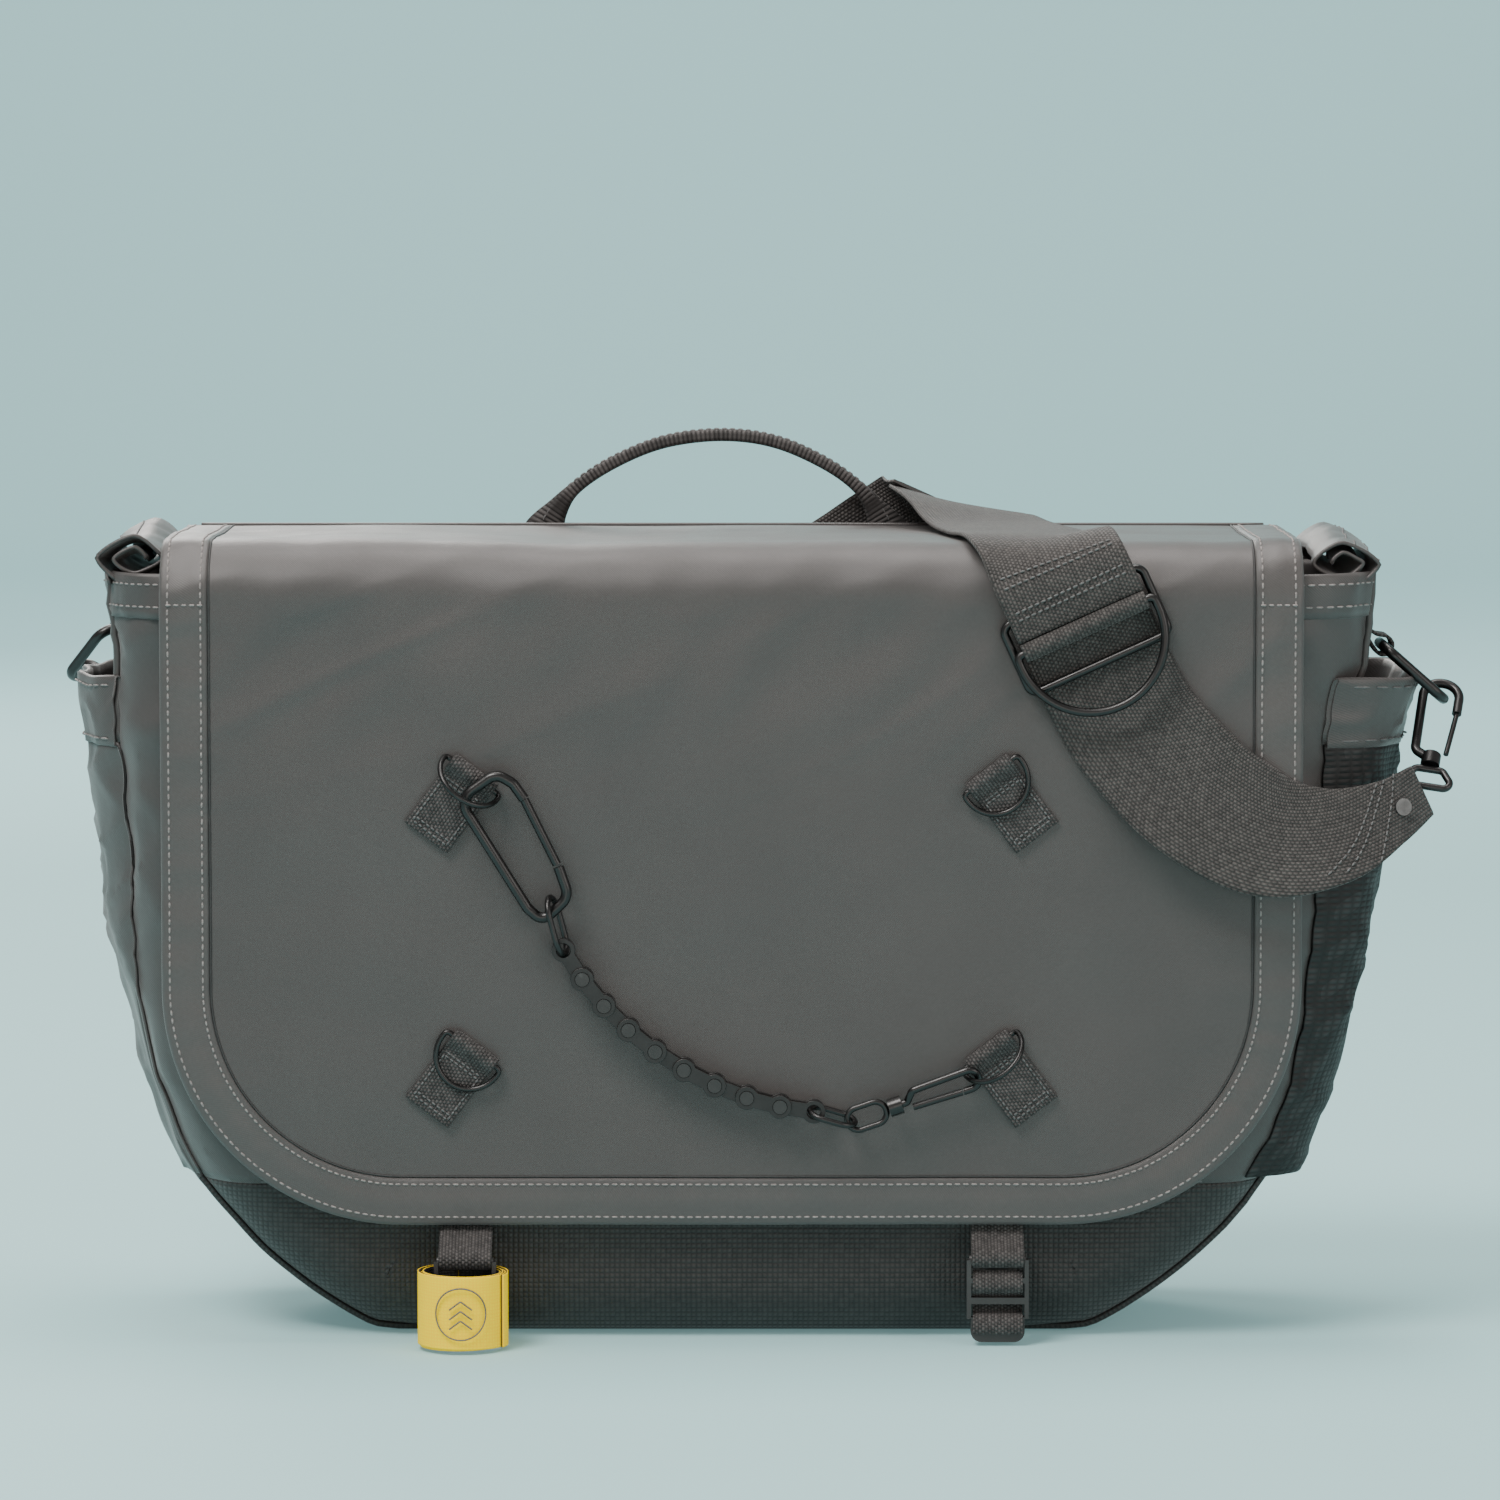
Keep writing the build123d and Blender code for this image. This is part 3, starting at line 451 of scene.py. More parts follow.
class Seams:
    """Many short raised stitches gathered into one mesh."""

    def __init__(self):
        self.verts, self.faces, self.uvs = [], [], []

    def stitch(self, points, ups, radius):
        points, ups = np.asarray(points), np.asarray(ups)
        ahead = unit(np.gradient(points, axis=0))
        sides = unit(np.cross(ahead, ups))
        base, last = len(self.verts), len(points) - 1
        for i, p in enumerate(points):
            r = radius * (0.5 if i in (0, last) else 1.0)
            for k in range(6):
                a = TAU * k / 6
                self.verts.append(p + sides[i] * math.cos(a) * r + ups[i] * math.sin(a) * r)
        faces, corners = grid_faces(len(points), 6, True, base)
        self.faces += faces
        self.uvs += [(float(i), float(j)) for i, j in corners]
        self.faces += [tuple(base + k for k in range(6)), tuple(base + last * 6 + k for k in range(6))[::-1]]
        self.uvs += [(0.0, 0.0)] * 12

    def row(self, surface, path, pitch=3.3, fill=0.68, radius=0.42, lift=0.15):
        """Stitches along a path of surface coordinates; surface(a, b, height) gives the point in space."""
        path = np.asarray(path, float)
        step = distances(path)
        count = max(1, int(round(step[-1] / pitch)))
        gap = step[-1] / count
        for i in range(count):
            middle = (i + 0.5) * gap
            points, ups = [], []
            for t, h in ((-0.5, -0.35), (-0.28, 0.0), (0.28, 0.0), (0.5, -0.35)):
                s = middle + t * gap * fill
                a, b = between(s, step, path)
                low, high = surface(a, b, lift + h * radius), surface(a, b, lift + 1.0)
                points.append(low)
                ups.append(unit(np.asarray(high) - np.asarray(low)))
            self.stitch(points, ups, radius)

    def piece(self, name, material, body=None):
        return put(name, self.verts, self.faces, self.uvs, material, body)


def tube_piece(name, points, radius, material, body, sides=8):
    """A round cord along a path."""
    points = np.asarray(points, float)
    ahead = unit(np.gradient(points, axis=0))
    up = vec(0.13, 0.21, 0.97)
    rows, uv, run = [], [], 0.0
    for i, p in enumerate(points):
        side = unit(np.cross(ahead[i], up))
        up = unit(np.cross(side, ahead[i]))
        run += 0 if i == 0 else np.linalg.norm(points[i] - points[i - 1])
        turns = [TAU * k / sides for k in range(sides + 1)]
        rows.append([p + (side * math.cos(a) + up * math.sin(a)) * radius for a in turns[:-1]])
        uv.append([(run, a * radius) for a in turns])
    return grid_piece(name, rows, uv, material, body, closed=True)


# ---- Bag shell ----

DEPTH_HALF, GUSSET_HALF, EDGE_ROUND = 64.0, 43.0, 24.0
BODY_TOP, TOP_HALF, SIDE_HALF, SIDE_Z, BASE_HALF = 285.0, 232.0, 222.0, 130.0, 126.0
LOWER_SEAM_Z = 57.0
SKIN, THIN_SKIN = 2.4, 0.6
FLOOR_GAP = 0.35  # the cloth never hangs lower than this


def outline(count):
    """Half outline from the top corner down the side and in along the base, evenly spaced."""
    p, q = vec(SIDE_HALF, SIDE_Z), vec(BASE_HALF, 0.0)
    down = unit([SIDE_HALF - TOP_HALF, SIDE_Z - BODY_TOP])
    normal = vec(down[1], -down[0])
    radius = ((p - q) @ (p - q)) / (2 * normal @ (q - p))
    centre = p + normal * radius
    start, end = (math.atan2(*(spot - centre)[::-1]) for spot in (p, q))
    arc = [centre + radius * vec(math.cos(a), math.sin(a)) for a in np.linspace(start, end, 60)]
    line = [vec(TOP_HALF, BODY_TOP) + (p - [TOP_HALF, BODY_TOP]) * t for t in np.linspace(0, 1, 30)]
    base = [vec(BASE_HALF * (1 - t), 0.0) for t in np.linspace(0, 1, 24)]
    smooth = np.array(line + arc[1:] + base[1:])
    first, last = 86, 96  # the points round the corner where the arc meets the base
    for _ in range(30):
        smooth[first:last] = (smooth[first - 1:last - 1] + smooth[first + 1:last + 1]) / 2
        smooth[:, 1] = np.maximum(smooth[:, 1], 0.0)
    step = distances(smooth)
    at = np.linspace(0, step[-1], count)
    return between(at, step, smooth).T, at


HALF_COUNT = 120
half_line, half_at = outline(HALF_COUNT)
ring_line = np.vstack([half_line * [-1, 1], half_line[::-1][1:]])
ring_at = np.r_[half_at, 2 * half_at[-1] - half_at[::-1][1:]]
ring_out = np.gradient(ring_line, axis=0)
ring_out = unit(np.column_stack([ring_out[:, 1], -ring_out[:, 0]]))
# Higher up, the sides bulge level and not along their own slope
turn = np.clip((ring_line[:, 1] - 20.0) / (LOWER_SEAM_Z - 20.0), 0, 1)[:, None] ** 2
sideways = np.column_stack([np.sign(ring_line[:, 0]), np.zeros(len(ring_line))])
ring_out = unit(ring_out * (1 - turn) + sideways * turn)
UPRIGHT = half_line[:95]  # the stations from the mouth down to the base's corner
RIGHT_BULGE = 6.0  # the bag is fuller on its right


def half_width(z):
    return float(np.interp(-z, -UPRIGHT[:, 1], UPRIGHT[:, 0]))


def ridge(p, scale, seed):
    """A sharp-crested fold, 0 to 1."""
    return max(0.0, 1.0 - abs(wobble(p, scale, seed)) * 3.4) ** 2


def shell_relief(p):
    """How far the cloth stands off its flat shape, in mm."""
    on_side = clamp((abs(p[0]) - 165.0) / 40.0)
    value = 1.6 * wobble(p, 60.0, 3.0) + 0.8 * wobble(p, 24.0, 9.0)
    slant = (p[0] * 0.4 + p[2] * 0.35, p[1] * 0.9 + p[2] * 0.15, p[2] * 0.45)
    steep = (slant[0], slant[1] * 1.4, slant[2] * 1.3)
    crease = 1.8 * ridge(slant, 26.0, 5.0) + 1.2 * ridge(steep, 17.0, 11.0)
    soft = on_side * clamp((p[2] - 4.0) / 40.0) * (1.0 if p[2] > LOWER_SEAM_Z else 0.3)
    return (value * 0.5 - 0.6) * clamp(p[2] / 12.0) + (value * 0.7 + crease - 0.6) * soft


def stand_off(p, n, lift):
    """A point moved off the flat shape by the cloth's relief, and near the mouth by the fuller right side."""
    q = p + n * (shell_relief(p) + lift)
    if p[0] > 0:
        q[0] += RIGHT_BULGE * clamp((p[2] - 225.0) / 30.0) * max(0.0, n[0]) ** 2
    return q


def wall(i, t):
    """The flat shape at outline station i, t mm behind the middle of the gusset, and the way out from it."""
    xz, out = ring_line[i], ring_out[i]
    flat = DEPTH_HALF - EDGE_ROUND
    if abs(t) <= flat:
        p = vec(xz[0], t, xz[1])
        n = vec(out[0], 0.0, out[1])
    else:
        a = min((abs(t) - flat) / EDGE_ROUND, math.pi / 2)
        drop = EDGE_ROUND * (1 - math.cos(a))
        y = math.copysign(flat + EDGE_ROUND * math.sin(a), t)
        p = vec(xz[0] - out[0] * drop, y, xz[1] - out[1] * drop)
        n = vec(out[0] * math.cos(a), math.copysign(math.sin(a), t), out[1] * math.cos(a))
    return p, n


def wall_point(i, t, lift=0.0):
    q = stand_off(*wall(i, t), lift)
    q[2] = max(q[2], FLOOR_GAP)
    return q


ROUND_END = (DEPTH_HALF - EDGE_ROUND) + EDGE_ROUND * math.pi / 2
SEAM_STATIONS = [i for i in range(len(ring_line)) if ring_line[i][1] >= LOWER_SEAM_Z]
LEFT_SEAM = max(i for i in SEAM_STATIONS if i < HALF_COUNT)
RIGHT_SEAM = min(i for i in SEAM_STATIONS if i >= HALF_COUNT)


def face_point(i, a, side, lower=False):
    """On the front (side -1) or back (1) face; a is 0 at the round edge, 1 at the middle or seam."""
    edge, _ = wall(i, side * ROUND_END)
    spine = vec(0.0, side * DEPTH_HALF, ring_line[i][1])
    if lower:
        share = (ring_at[i] - ring_at[LEFT_SEAM]) / (ring_at[RIGHT_SEAM] - ring_at[LEFT_SEAM])
        reach = abs(wall(LEFT_SEAM, side * ROUND_END)[0][0])
        spine = vec(reach * (2 * share - 1), side * DEPTH_HALF, ring_line[LEFT_SEAM][1])
    p = edge + (spine - edge) * a
    p[2] = max(p[2], FLOOR_GAP)
    return p + vec(0.0, side * shell_relief(p), 0.0)


def band(name, stations, material):
    """The gusset between the two corded seams, over a stretch of the outline."""
    ts = np.linspace(-GUSSET_HALF, GUSSET_HALF, 35)
    points = [[wall_point(i, t) for t in ts] for i in stations]
    uv = [[(ring_at[i], t) for t in ts] for i in stations]
    return inward(grid_piece(name, points, uv, material, REST), SKIN)


def face(name, side, lower, material):
    """The front (side -1) or back (side 1) face with its rounded edge, above or below the seam."""
    ts = np.linspace(GUSSET_HALF, ROUND_END, 9) * side
    shares = np.linspace(0, 1, 49)[1:]
    points = []
    if lower:
        for i in range(LEFT_SEAM, RIGHT_SEAM + 1):
            middle = [face_point(i, a, side, lower=True) for a in shares[5::6]]
            points.append([wall_point(i, t) for t in ts] + middle)
    else:
        for i in range(0, LEFT_SEAM + 1):
            k = len(ring_line) - 1 - i
            left = [wall_point(i, t) for t in ts] + [face_point(i, a, side) for a in shares]
            right = [wall_point(k, t) for t in ts] + [face_point(k, a, side) for a in shares[:-1]]
            points.append(left + right[::-1])
    uv = [[(p[0], p[2]) for p in row] for row in points]
    return inward(grid_piece(name, points, uv, material, REST), THIN_SKIN if lower else SKIN)


left_side = range(0, LEFT_SEAM + 1)
right_side = range(RIGHT_SEAM, len(ring_line))
bottom = range(LEFT_SEAM, RIGHT_SEAM + 1)

skins = (
    (face("front_cloth", -1, False, "bag_cloth"), "front_panel", "bag_cloth"),
    (face("front_lower_cloth", -1, True, "ballistic_cloth"), "front_lower_panel", "ballistic_cloth"),
    (face("back_cloth", 1, False, "bag_cloth"), "back_panel", "bag_cloth"),
    (face("back_lower_cloth", 1, True, "ballistic_cloth"), "back_panel", "ballistic_cloth"),
    (band("side_cloth_left", left_side, "bag_cloth"), "side_gusset_left", "bag_cloth"),
    (band("side_cloth_right", right_side, "bag_cloth"), "side_gusset_right", "bag_cloth"),
    (band("bottom_cloth", bottom, "ballistic_cloth"), "bottom_gusset", "ballistic_cloth"),
)
for piece, node, slot in skins:
    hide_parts(node)

# Corded seams where the gusset meets the two faces
CORD_RADIUS = 1.5
for side, word in ((-1, "front"), (1, "rear")):
    for stations, cloth, part in (
            (left_side, "bag_cloth", "left"), (bottom, "ballistic_cloth", "base"),
            (right_side, "bag_cloth", "right")):
        run = [wall_point(i, side * (GUSSET_HALF + 1.0), 0.9) for i in stations]
        run = [p + [0, 0, max(0.0, 2.0 - p[2])] for p in run]
        tube_piece(f"corded_seam_{word}_{part}", run, CORD_RADIUS, cloth, REST)


def front_face(x, z, lift):
    """A point on the front cloth."""
    gap = np.min(np.hypot(ring_line[:, 0] - x, ring_line[:, 1] - z))
    inside = max(0.0, EDGE_ROUND - gap)
    y = -(DEPTH_HALF - EDGE_ROUND) - math.sqrt(max(0.0, EDGE_ROUND ** 2 - inside ** 2))
    p = vec(x, y, z)
    return p - vec(0.0, shell_relief(p) + lift, 0.0)


def mouth_point(side, t, z, lift):
    """A point near the mouth: t runs round the side from the front cloth to the back cloth."""
    flat, w, sign = DEPTH_HALF - EDGE_ROUND, half_width(z), math.copysign(1.0, t)
    a = min(max(0.0, abs(t) - flat) / EDGE_ROUND, math.pi / 2)
    x = w - EDGE_ROUND * (1 - math.cos(a)) - max(0.0, abs(t) - ROUND_END)
    y = min(abs(t), flat) + EDGE_ROUND * math.sin(a)
    return stand_off(vec(side * x, sign * y, z), vec(side * math.cos(a), sign * math.sin(a), 0.0), lift)


# Folded hem round each end of the mouth, and the seam rows
HEM_REACH = ROUND_END + 24.0
HEM_FRONT = ROUND_END + TOP_HALF - EDGE_ROUND
HEM_PROFILE = ((284.6, -2.8), (285.5, -1.0), (285.6, 0.6), (284.5, 1.3),
               (280, 1.2), (272, 1.1), (269.6, 0.9), (269.2, -0.3))
mouth = Seams()
for side, word in SIDES:
    ts = np.linspace(-HEM_FRONT, HEM_REACH, 170)
    hem = [[mouth_point(side, t, z, h) for t in ts] for z, h in HEM_PROFILE]
    uv = [[(t, z) for t in ts] for z in (288, 286, 285, 284, 280, 272, 269, 268)]
    piece = solid(grid_piece(f"mouth_hem_{word}", hem, uv, "bag_cloth", REST), 0.5, 0.0)
    at = lambda t, z, lift, side=side: mouth_point(side, t, z, lift)
    for z in (281.8, 273.5):
        mouth.row(at, [(-HEM_FRONT, z), (HEM_REACH, z)], lift=1.5)
mouth.piece("mouth_hem_stitches", "pale_thread", REST)

seam = Seams()
seam.row(front_face, [(-186, LOWER_SEAM_Z + 2.2), (186, LOWER_SEAM_Z + 2.2)])
seam.piece("lower_seam_stitches", "grey_thread", REST)

# ---- Rolled ears ----

EAR_HALF, EAR_X, EAR_Z = 50.0, 222.0, 290.5
EAR_SHIFT = 5.0  # the right ear stands further out
EAR_POWER = 1.35  # 2 makes a round roll, 1 a square one on its corner
EAR_START, EAR_SWEEP = -70, 620  # degrees

for side, word in SIDES:
    rows, uv = [], []
    ys = np.linspace(-EAR_HALF, EAR_HALF, 34)
    turns = np.linspace(0, 1, 64)
    for y in ys:
        flare = 1.0 + 0.16 * (abs(y) / EAR_HALF) ** 3 + 0.05 * wobble((y, 0, 0), 17.0, side)
        row = []
        for t in turns:
            a = math.radians(EAR_START + EAR_SWEEP * t)
            shape = (abs(math.cos(a)) ** EAR_POWER + abs(math.sin(a)) ** EAR_POWER) ** (-1 / EAR_POWER)
            r = (8.6 * (1 - t) + 2.2 * t) * flare * shape
            x = side * (EAR_X + 1.55 * r * math.cos(a) + (EAR_SHIFT if side > 0 else 0.0))
            z = EAR_Z + r * math.sin(a) + 1.5 * math.sin(y * 0.05 + side)
            bump = 0.9 * wobble((y, a * 8, side * 40), 11.0)
            row.append((x + bump, y, z + bump))
        foot = [(side * (TOP_HALF - 1.0), y, 281.0), (side * (TOP_HALF + 0.5), y, 285.0)]
        rows.append(foot + row)
        uv.append([(y, -8.0), (y, -4.0)] + [(y, t * 60.0) for t in turns])
    ear = solid(grid_piece(f"rolled_cloth_{word}", rows, uv, "bag_cloth", REST), 1.3, 0.0)
    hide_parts(f"rolled_ear_{word}")
    trim = Seams()
    for index in (10, 16):
        line = [rows[k][index] for k in range(len(rows))]

        def roll(y, _, lift, line=line, side=side):
            p = between(y, ys, line)
            return p + unit(p - vec(side * (EAR_X + 0.5), y, EAR_Z)) * (0.65 + lift)

        trim.row(roll, [(-49, 0), (49, 0)])
    trim.piece(f"rolled_cloth_stitches_{word}", "grey_thread", REST)

# ---- Side pockets ----

POCKET_SPAN = {-1: 47.0, 1: 60.0}
POCKET_LINE = ((60, 211), (100, 226), (145, 237), (200, 245), (246, 248.5))  # height, distance out


def pocket_x(side, z):
    return float(np.interp(z, *zip(*POCKET_LINE))) + (3.0 if side > 0 else -3.5)


def pocket_point(side, a, z, lift=0.0):
    """a runs from -1 at the front seam to 1 at the rear one."""
    seam_at = mouth_point(side, a * POCKET_SPAN[side], min(z, 284.0), 0.6)
    stand = max(0.0, pocket_x(side, z) - half_width(min(z, 284.0)))
    bow = 1 - abs(a) ** (5.0 if side > 0 else 3.6)
    fold = 1.6 * wobble((a * 40, z * 0.5, side * 9), 16.0) + wobble((a * 90, z * 0.3, side * 5), 22.0) - 1.0
    lip = 0.9 * math.sin(a * 9 + side) * max(0.0, (z - 225) / 21)
    out = max(0.2, (stand + fold + lip) * bow)
    return seam_at + vec(side * (out + lift), 0.0, 0.5 * math.sin(a * 11) if z > 240 else 0.0)


for side, word in SIDES:
    aa = np.sin(np.linspace(-math.pi / 2, math.pi / 2, 44))
    zs = np.linspace(60, 222, 56)
    low = [[pocket_point(side, a, z) for a in aa] for z in zs]
    uv = [[(a * 48, z) for a in aa] for z in zs]
    cloth = "bag_cloth" if side < 0 else "pocket_mesh"
    skin = solid(grid_piece(f"pocket_skin_{word}", low, uv, cloth, REST), 1.0, 0.0)
    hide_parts(f"side_pocket_{word}")
    zs = np.r_[220.5, np.linspace(221, 245.5, 14), 246.2, 245.6, np.linspace(243, 222, 6)]
    lifts = np.r_[0.2, np.full(14, 1.1), 0.3, -0.9, np.full(6, -0.9)]
    hem = [[pocket_point(side, a, z, h) for a in aa] for z, h in zip(zs, lifts)]
    uv = [[(a * 48, z if k < 16 else 492 - z) for a in aa] for k, z in enumerate(zs)]
    rim = solid(grid_piece(f"pocket_rim_{word}", hem, uv, "bag_cloth", REST), 0.7, 0.0)
    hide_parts(f"pocket_hem_{word}")
    trim = Seams()
    on = lambda a, z, lift, side=side: pocket_point(side, a / 43.0, z, lift + 2.0)
    for z in (242.8, 223.2 if side < 0 else 223.0):
        trim.row(on, [(-42, z), (42, z)])
    stitching = "pale_thread" if side < 0 else "grey_thread"
    trim.piece(f"pocket_rim_stitches_{word}", stitching, REST)

# ---- Flap ----

FLAP_HALF, FLAP_T, FLAP_TOP, FLAP_FRONT, FLAP_REAR = 210.5, 3.0, 297.0, -72.0, 64.5
FLAP_BEND, FLAP_CORNER, FLAP_BOTTOM = 20.0, 88.0, 44.7
TOP_RUN = FLAP_REAR - (FLAP_FRONT + FLAP_BEND)
BEND_RUN = FLAP_BEND * math.pi / 2
FLAP_RUN = TOP_RUN + BEND_RUN + (FLAP_TOP - FLAP_BEND - FLAP_BOTTOM)


def flap_relief(x, v):
    """Soft wrinkles: diagonal near the top bend, a pucker along the sides, wide swells below."""
    near_bend = math.exp(-(((v - TOP_RUN - BEND_RUN - 22) / 34.0) ** 2))
    value = 1.6 * wobble((x, v, 0), 85.0, 2.0) + 0.7 * wobble((x, v, 0), 38.0, 7.0)
    value += near_bend * 1.5 * wobble((x + v * 0.8, v * 0.5 - x * 0.2, 0), 24.0, 4.0)
    value += near_bend * 0.9 * ridge((x * 0.5 + v * 0.7, v * 0.4, 0), 30.0, 6.0)
    edge = max(0.0, (abs(x) - 165.0) / 45.0)
    value += 0.5 * edge * wobble((x * 0.3, v, 0), 9.0, 6.0)
    foot = max(0.0, (v - FLAP_RUN + 50.0) / 50.0)
    value += 0.5 * foot * wobble((x, v * 0.3, 0), 11.0, 8.0)
    return value + 0.35


def flap_point(x, v, lift=0.0):
    """On the flap's outer face, v mm from its rear edge."""
    h = lift + flap_relief(x, v)
    if v <= TOP_RUN:
        return vec(x, FLAP_REAR - v, FLAP_TOP + h * min(1.0, v / 25.0))
    if v <= TOP_RUN + BEND_RUN:
        a = (v - TOP_RUN) / FLAP_BEND
        r = FLAP_BEND + h
        return vec(x, FLAP_FRONT + FLAP_BEND - r * math.sin(a), FLAP_TOP - FLAP_BEND + r * math.cos(a))
    return vec(x, FLAP_FRONT - h, FLAP_TOP - FLAP_BEND - (v - TOP_RUN - BEND_RUN))


INSET = 8.0  # how far the sheet's edge lies inside the binding
vs = list(np.linspace(0, FLAP_RUN - FLAP_CORNER, 150)) + [
    FLAP_RUN - FLAP_CORNER + (FLAP_CORNER - INSET) * math.sin(a) for a in np.linspace(0, math.pi / 2, 46)[1:]]
across = np.linspace(-1, 1, 170)


def sheet_half(v):
    drop = max(0.0, v - (FLAP_RUN - FLAP_CORNER))
    return FLAP_HALF - FLAP_CORNER + math.sqrt(max(0.0, (FLAP_CORNER - INSET) ** 2 - drop ** 2))


points = [[flap_point(u * sheet_half(v), v) for u in across] for v in vs]
uv = [[(u * sheet_half(v), v) for u in across] for v in vs]
flap_cloth = inward(grid_piece("flap_cloth", points, uv, "flap_cloth", "flap"), FLAP_T)
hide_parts("flap_panel")

# The edge of the flap, unrolled: x and distance from the rear edge, with the outward direction
edge_path = [(-FLAP_HALF, v) for v in np.linspace(0, FLAP_RUN - FLAP_CORNER, 180)]
middle = (FLAP_HALF - FLAP_CORNER, FLAP_RUN - FLAP_CORNER)
edge_path += [(-middle[0] - FLAP_CORNER * math.cos(a), middle[1] + FLAP_CORNER * math.sin(a))
              for a in np.linspace(0, math.pi / 2, 90)[1:]]
edge_path += [(x, FLAP_RUN) for x in np.linspace(-middle[0], 0, 60)[1:]]
edge_path = np.array(edge_path + [(-x, v) for x, v in edge_path[::-1][1:]])
edge_at = distances(edge_path)
edge_out = np.gradient(edge_path, axis=0)
edge_out = unit(np.column_stack([-edge_out[:, 1], edge_out[:, 0]]))


def edge_point(s, reach, lift):
    """At s along the flap's edge and reach mm in from it."""
    x, v = between(s, edge_at, edge_path)
    n = unit(between(s, edge_at, edge_out))
    pucker = 0.28 * wobble((s, reach * 0.4, 0), 7.0, 12.0) * clamp(reach / 6.0)
    return flap_point(x - n[0] * reach, max(0.0, v - n[1] * reach), lift + pucker)


# The binding's section: reach in from the edge, and height off the flap's face
section = [(17.4, -0.4), (17.0, 0.5), (16.4, 0.95), (14.8, 0.75), (11, 1.25), (6, 1.3), (2.6, 0.8),
           (0.8, 0.9), (-0.3, 0.2), (-0.6, -1.5), (-0.3, -3.1), (1.0, -3.9), (6, -4.0), (14.5, -3.9),
           (16.6, -3.4), (17.0, -2.8)]
samples = np.linspace(0, edge_at[-1], 620)
points = [[edge_point(s, d, h) for d, h in section] for s in samples]
uv = [[(s, 3.0 * k) for k in range(len(section))] for s in samples]
flap_edge = grid_piece("flap_edge", points, uv, "binding_cloth", "flap")
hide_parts("flap_binding")
# A dark cord along the binding's inner edge: painted shade where the binding meets the flap.
groove_line = [edge_point(s, 17.7, 0.1) for s in samples]
groove = tube_piece("flap_edge_groove_shade", groove_line, 0.45, "painted_groove_shade", "flap", 6)
trim = Seams()
for reach in (2.6, 14.8):
    on_edge = [(2, reach), (edge_at[-1] - 2, reach)]
    trim.row(lambda s, d, lift: edge_point(s, d, lift + 0.75), on_edge, pitch=3.1)
for start in (TOP_RUN + BEND_RUN + 2, edge_at[-1] - TOP_RUN - BEND_RUN - 2):
    trim.row(lambda d, s, lift: edge_point(s, d, lift + 1.1), [(1.5, start), (16, start)], pitch=3.1)
trim.piece("flap_edge_stitches", "pale_thread", "flap")

# The strip that joins the flap to the back, bending at the hinge line
xs = np.linspace(-205.5, 205.5, 80)


def seam_strip(x, v, lift=0.0):
    """v runs up the back and over the flap's rear edge."""
    run = (0, 22, 30, 33, 36, 40)
    y = np.interp(v, run, (65.2, 66.0, 66.0, 65.6, 63.0, 59.5))
    z = np.interp(v, run, (264.0, 286.0, 294.0, 296.6, 297.5, 297.35))
    return vec(x, y + (lift + 0.5 * wobble((x, v, 0), 14.0, 31.0)) * (v < 33), z)


levels = np.r_[0, 1, np.linspace(4, 28, 12), np.linspace(29, 37, 9), 40]
points = [[seam_strip(x, v) for x in xs] for v in levels]
uv = [[(x, v) for x in xs] for v in levels]
rear_seam = solid(grid_piece("flap_rear_seam", points, uv, "binding_cloth"), 0.9, 0.0)
trim = Seams()
for v in (3.0, 20.0):
    trim.row(seam_strip, [(-203, v), (203, v)], lift=0.6)
trim.piece("flap_rear_stitches", "pale_thread", REST)
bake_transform(rear_seam)

# ---- D-ring tabs ----

TAB_ANGLE = math.radians(37.0)
TAB_HALF, TAB_THICK = 9.75, 1.2
# Distance along the tab and height off the flap: up the tab, round the ring and back
TAB_PATH = [(-15.4, 0.9), (-8, 0.9), (0, 0.9), (8, 0.9), (11.6, 1.2), (13.9, 1.5), (15.5, 2.4), (15.8, 3.8),
            (15.0, 5.2), (13.5, 5.8), (11.9, 5.2), (10.0, 3.4), (7.5, 2.3), (0, 2.15), (-8, 2.15),
            (-15.6, 2.1)]
TAB_ROWS = [[(a, -7.6), (a, 7.6)] for a in (-13.2, -11.4, 5.6, 7.0)]
TAB_ROWS += [[(-13.2, b), (6, b)] for b in (-7.8, 7.8)]
for row_word, z in (("top", 201.5), ("bottom", 99.2)):
    for side, word in SIDES:
        name = f"{row_word}_{word}"
        wide = vec(math.cos(TAB_ANGLE), 0, side * math.sin(TAB_ANGLE))
        along = vec(-side * math.sin(TAB_ANGLE), 0, math.cos(TAB_ANGLE))
        middle = vec(side * 103.6, FLAP_FRONT, z)

        def on_tab(a, b, lift, middle=middle, along=along, wide=wide):
            return middle + along * a + wide * b - vec(0, lift, 0)

        tab = Ribbon([(on_tab(a, 0, h), wide, TAB_HALF) for a, h in TAB_PATH], TAB_THICK, 90)
        piece = tab.piece(f"tab_{name}", "tab_webbing", "flap", wave=0.12, seed=z + side)
        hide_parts(f"d_ring_tab_{name}")
        trim = Seams()
        for path in TAB_ROWS:
            trim.row(lambda a, b, lift: on_tab(a, b, 2.75 + lift), path, pitch=2.2, radius=0.4)
        trim.piece(f"tab_stitches_{name}", "grey_thread", "flap")

# ---- Shoulder strap ----

STRAP_HALF, STRAP_THICK = 25, 1.8
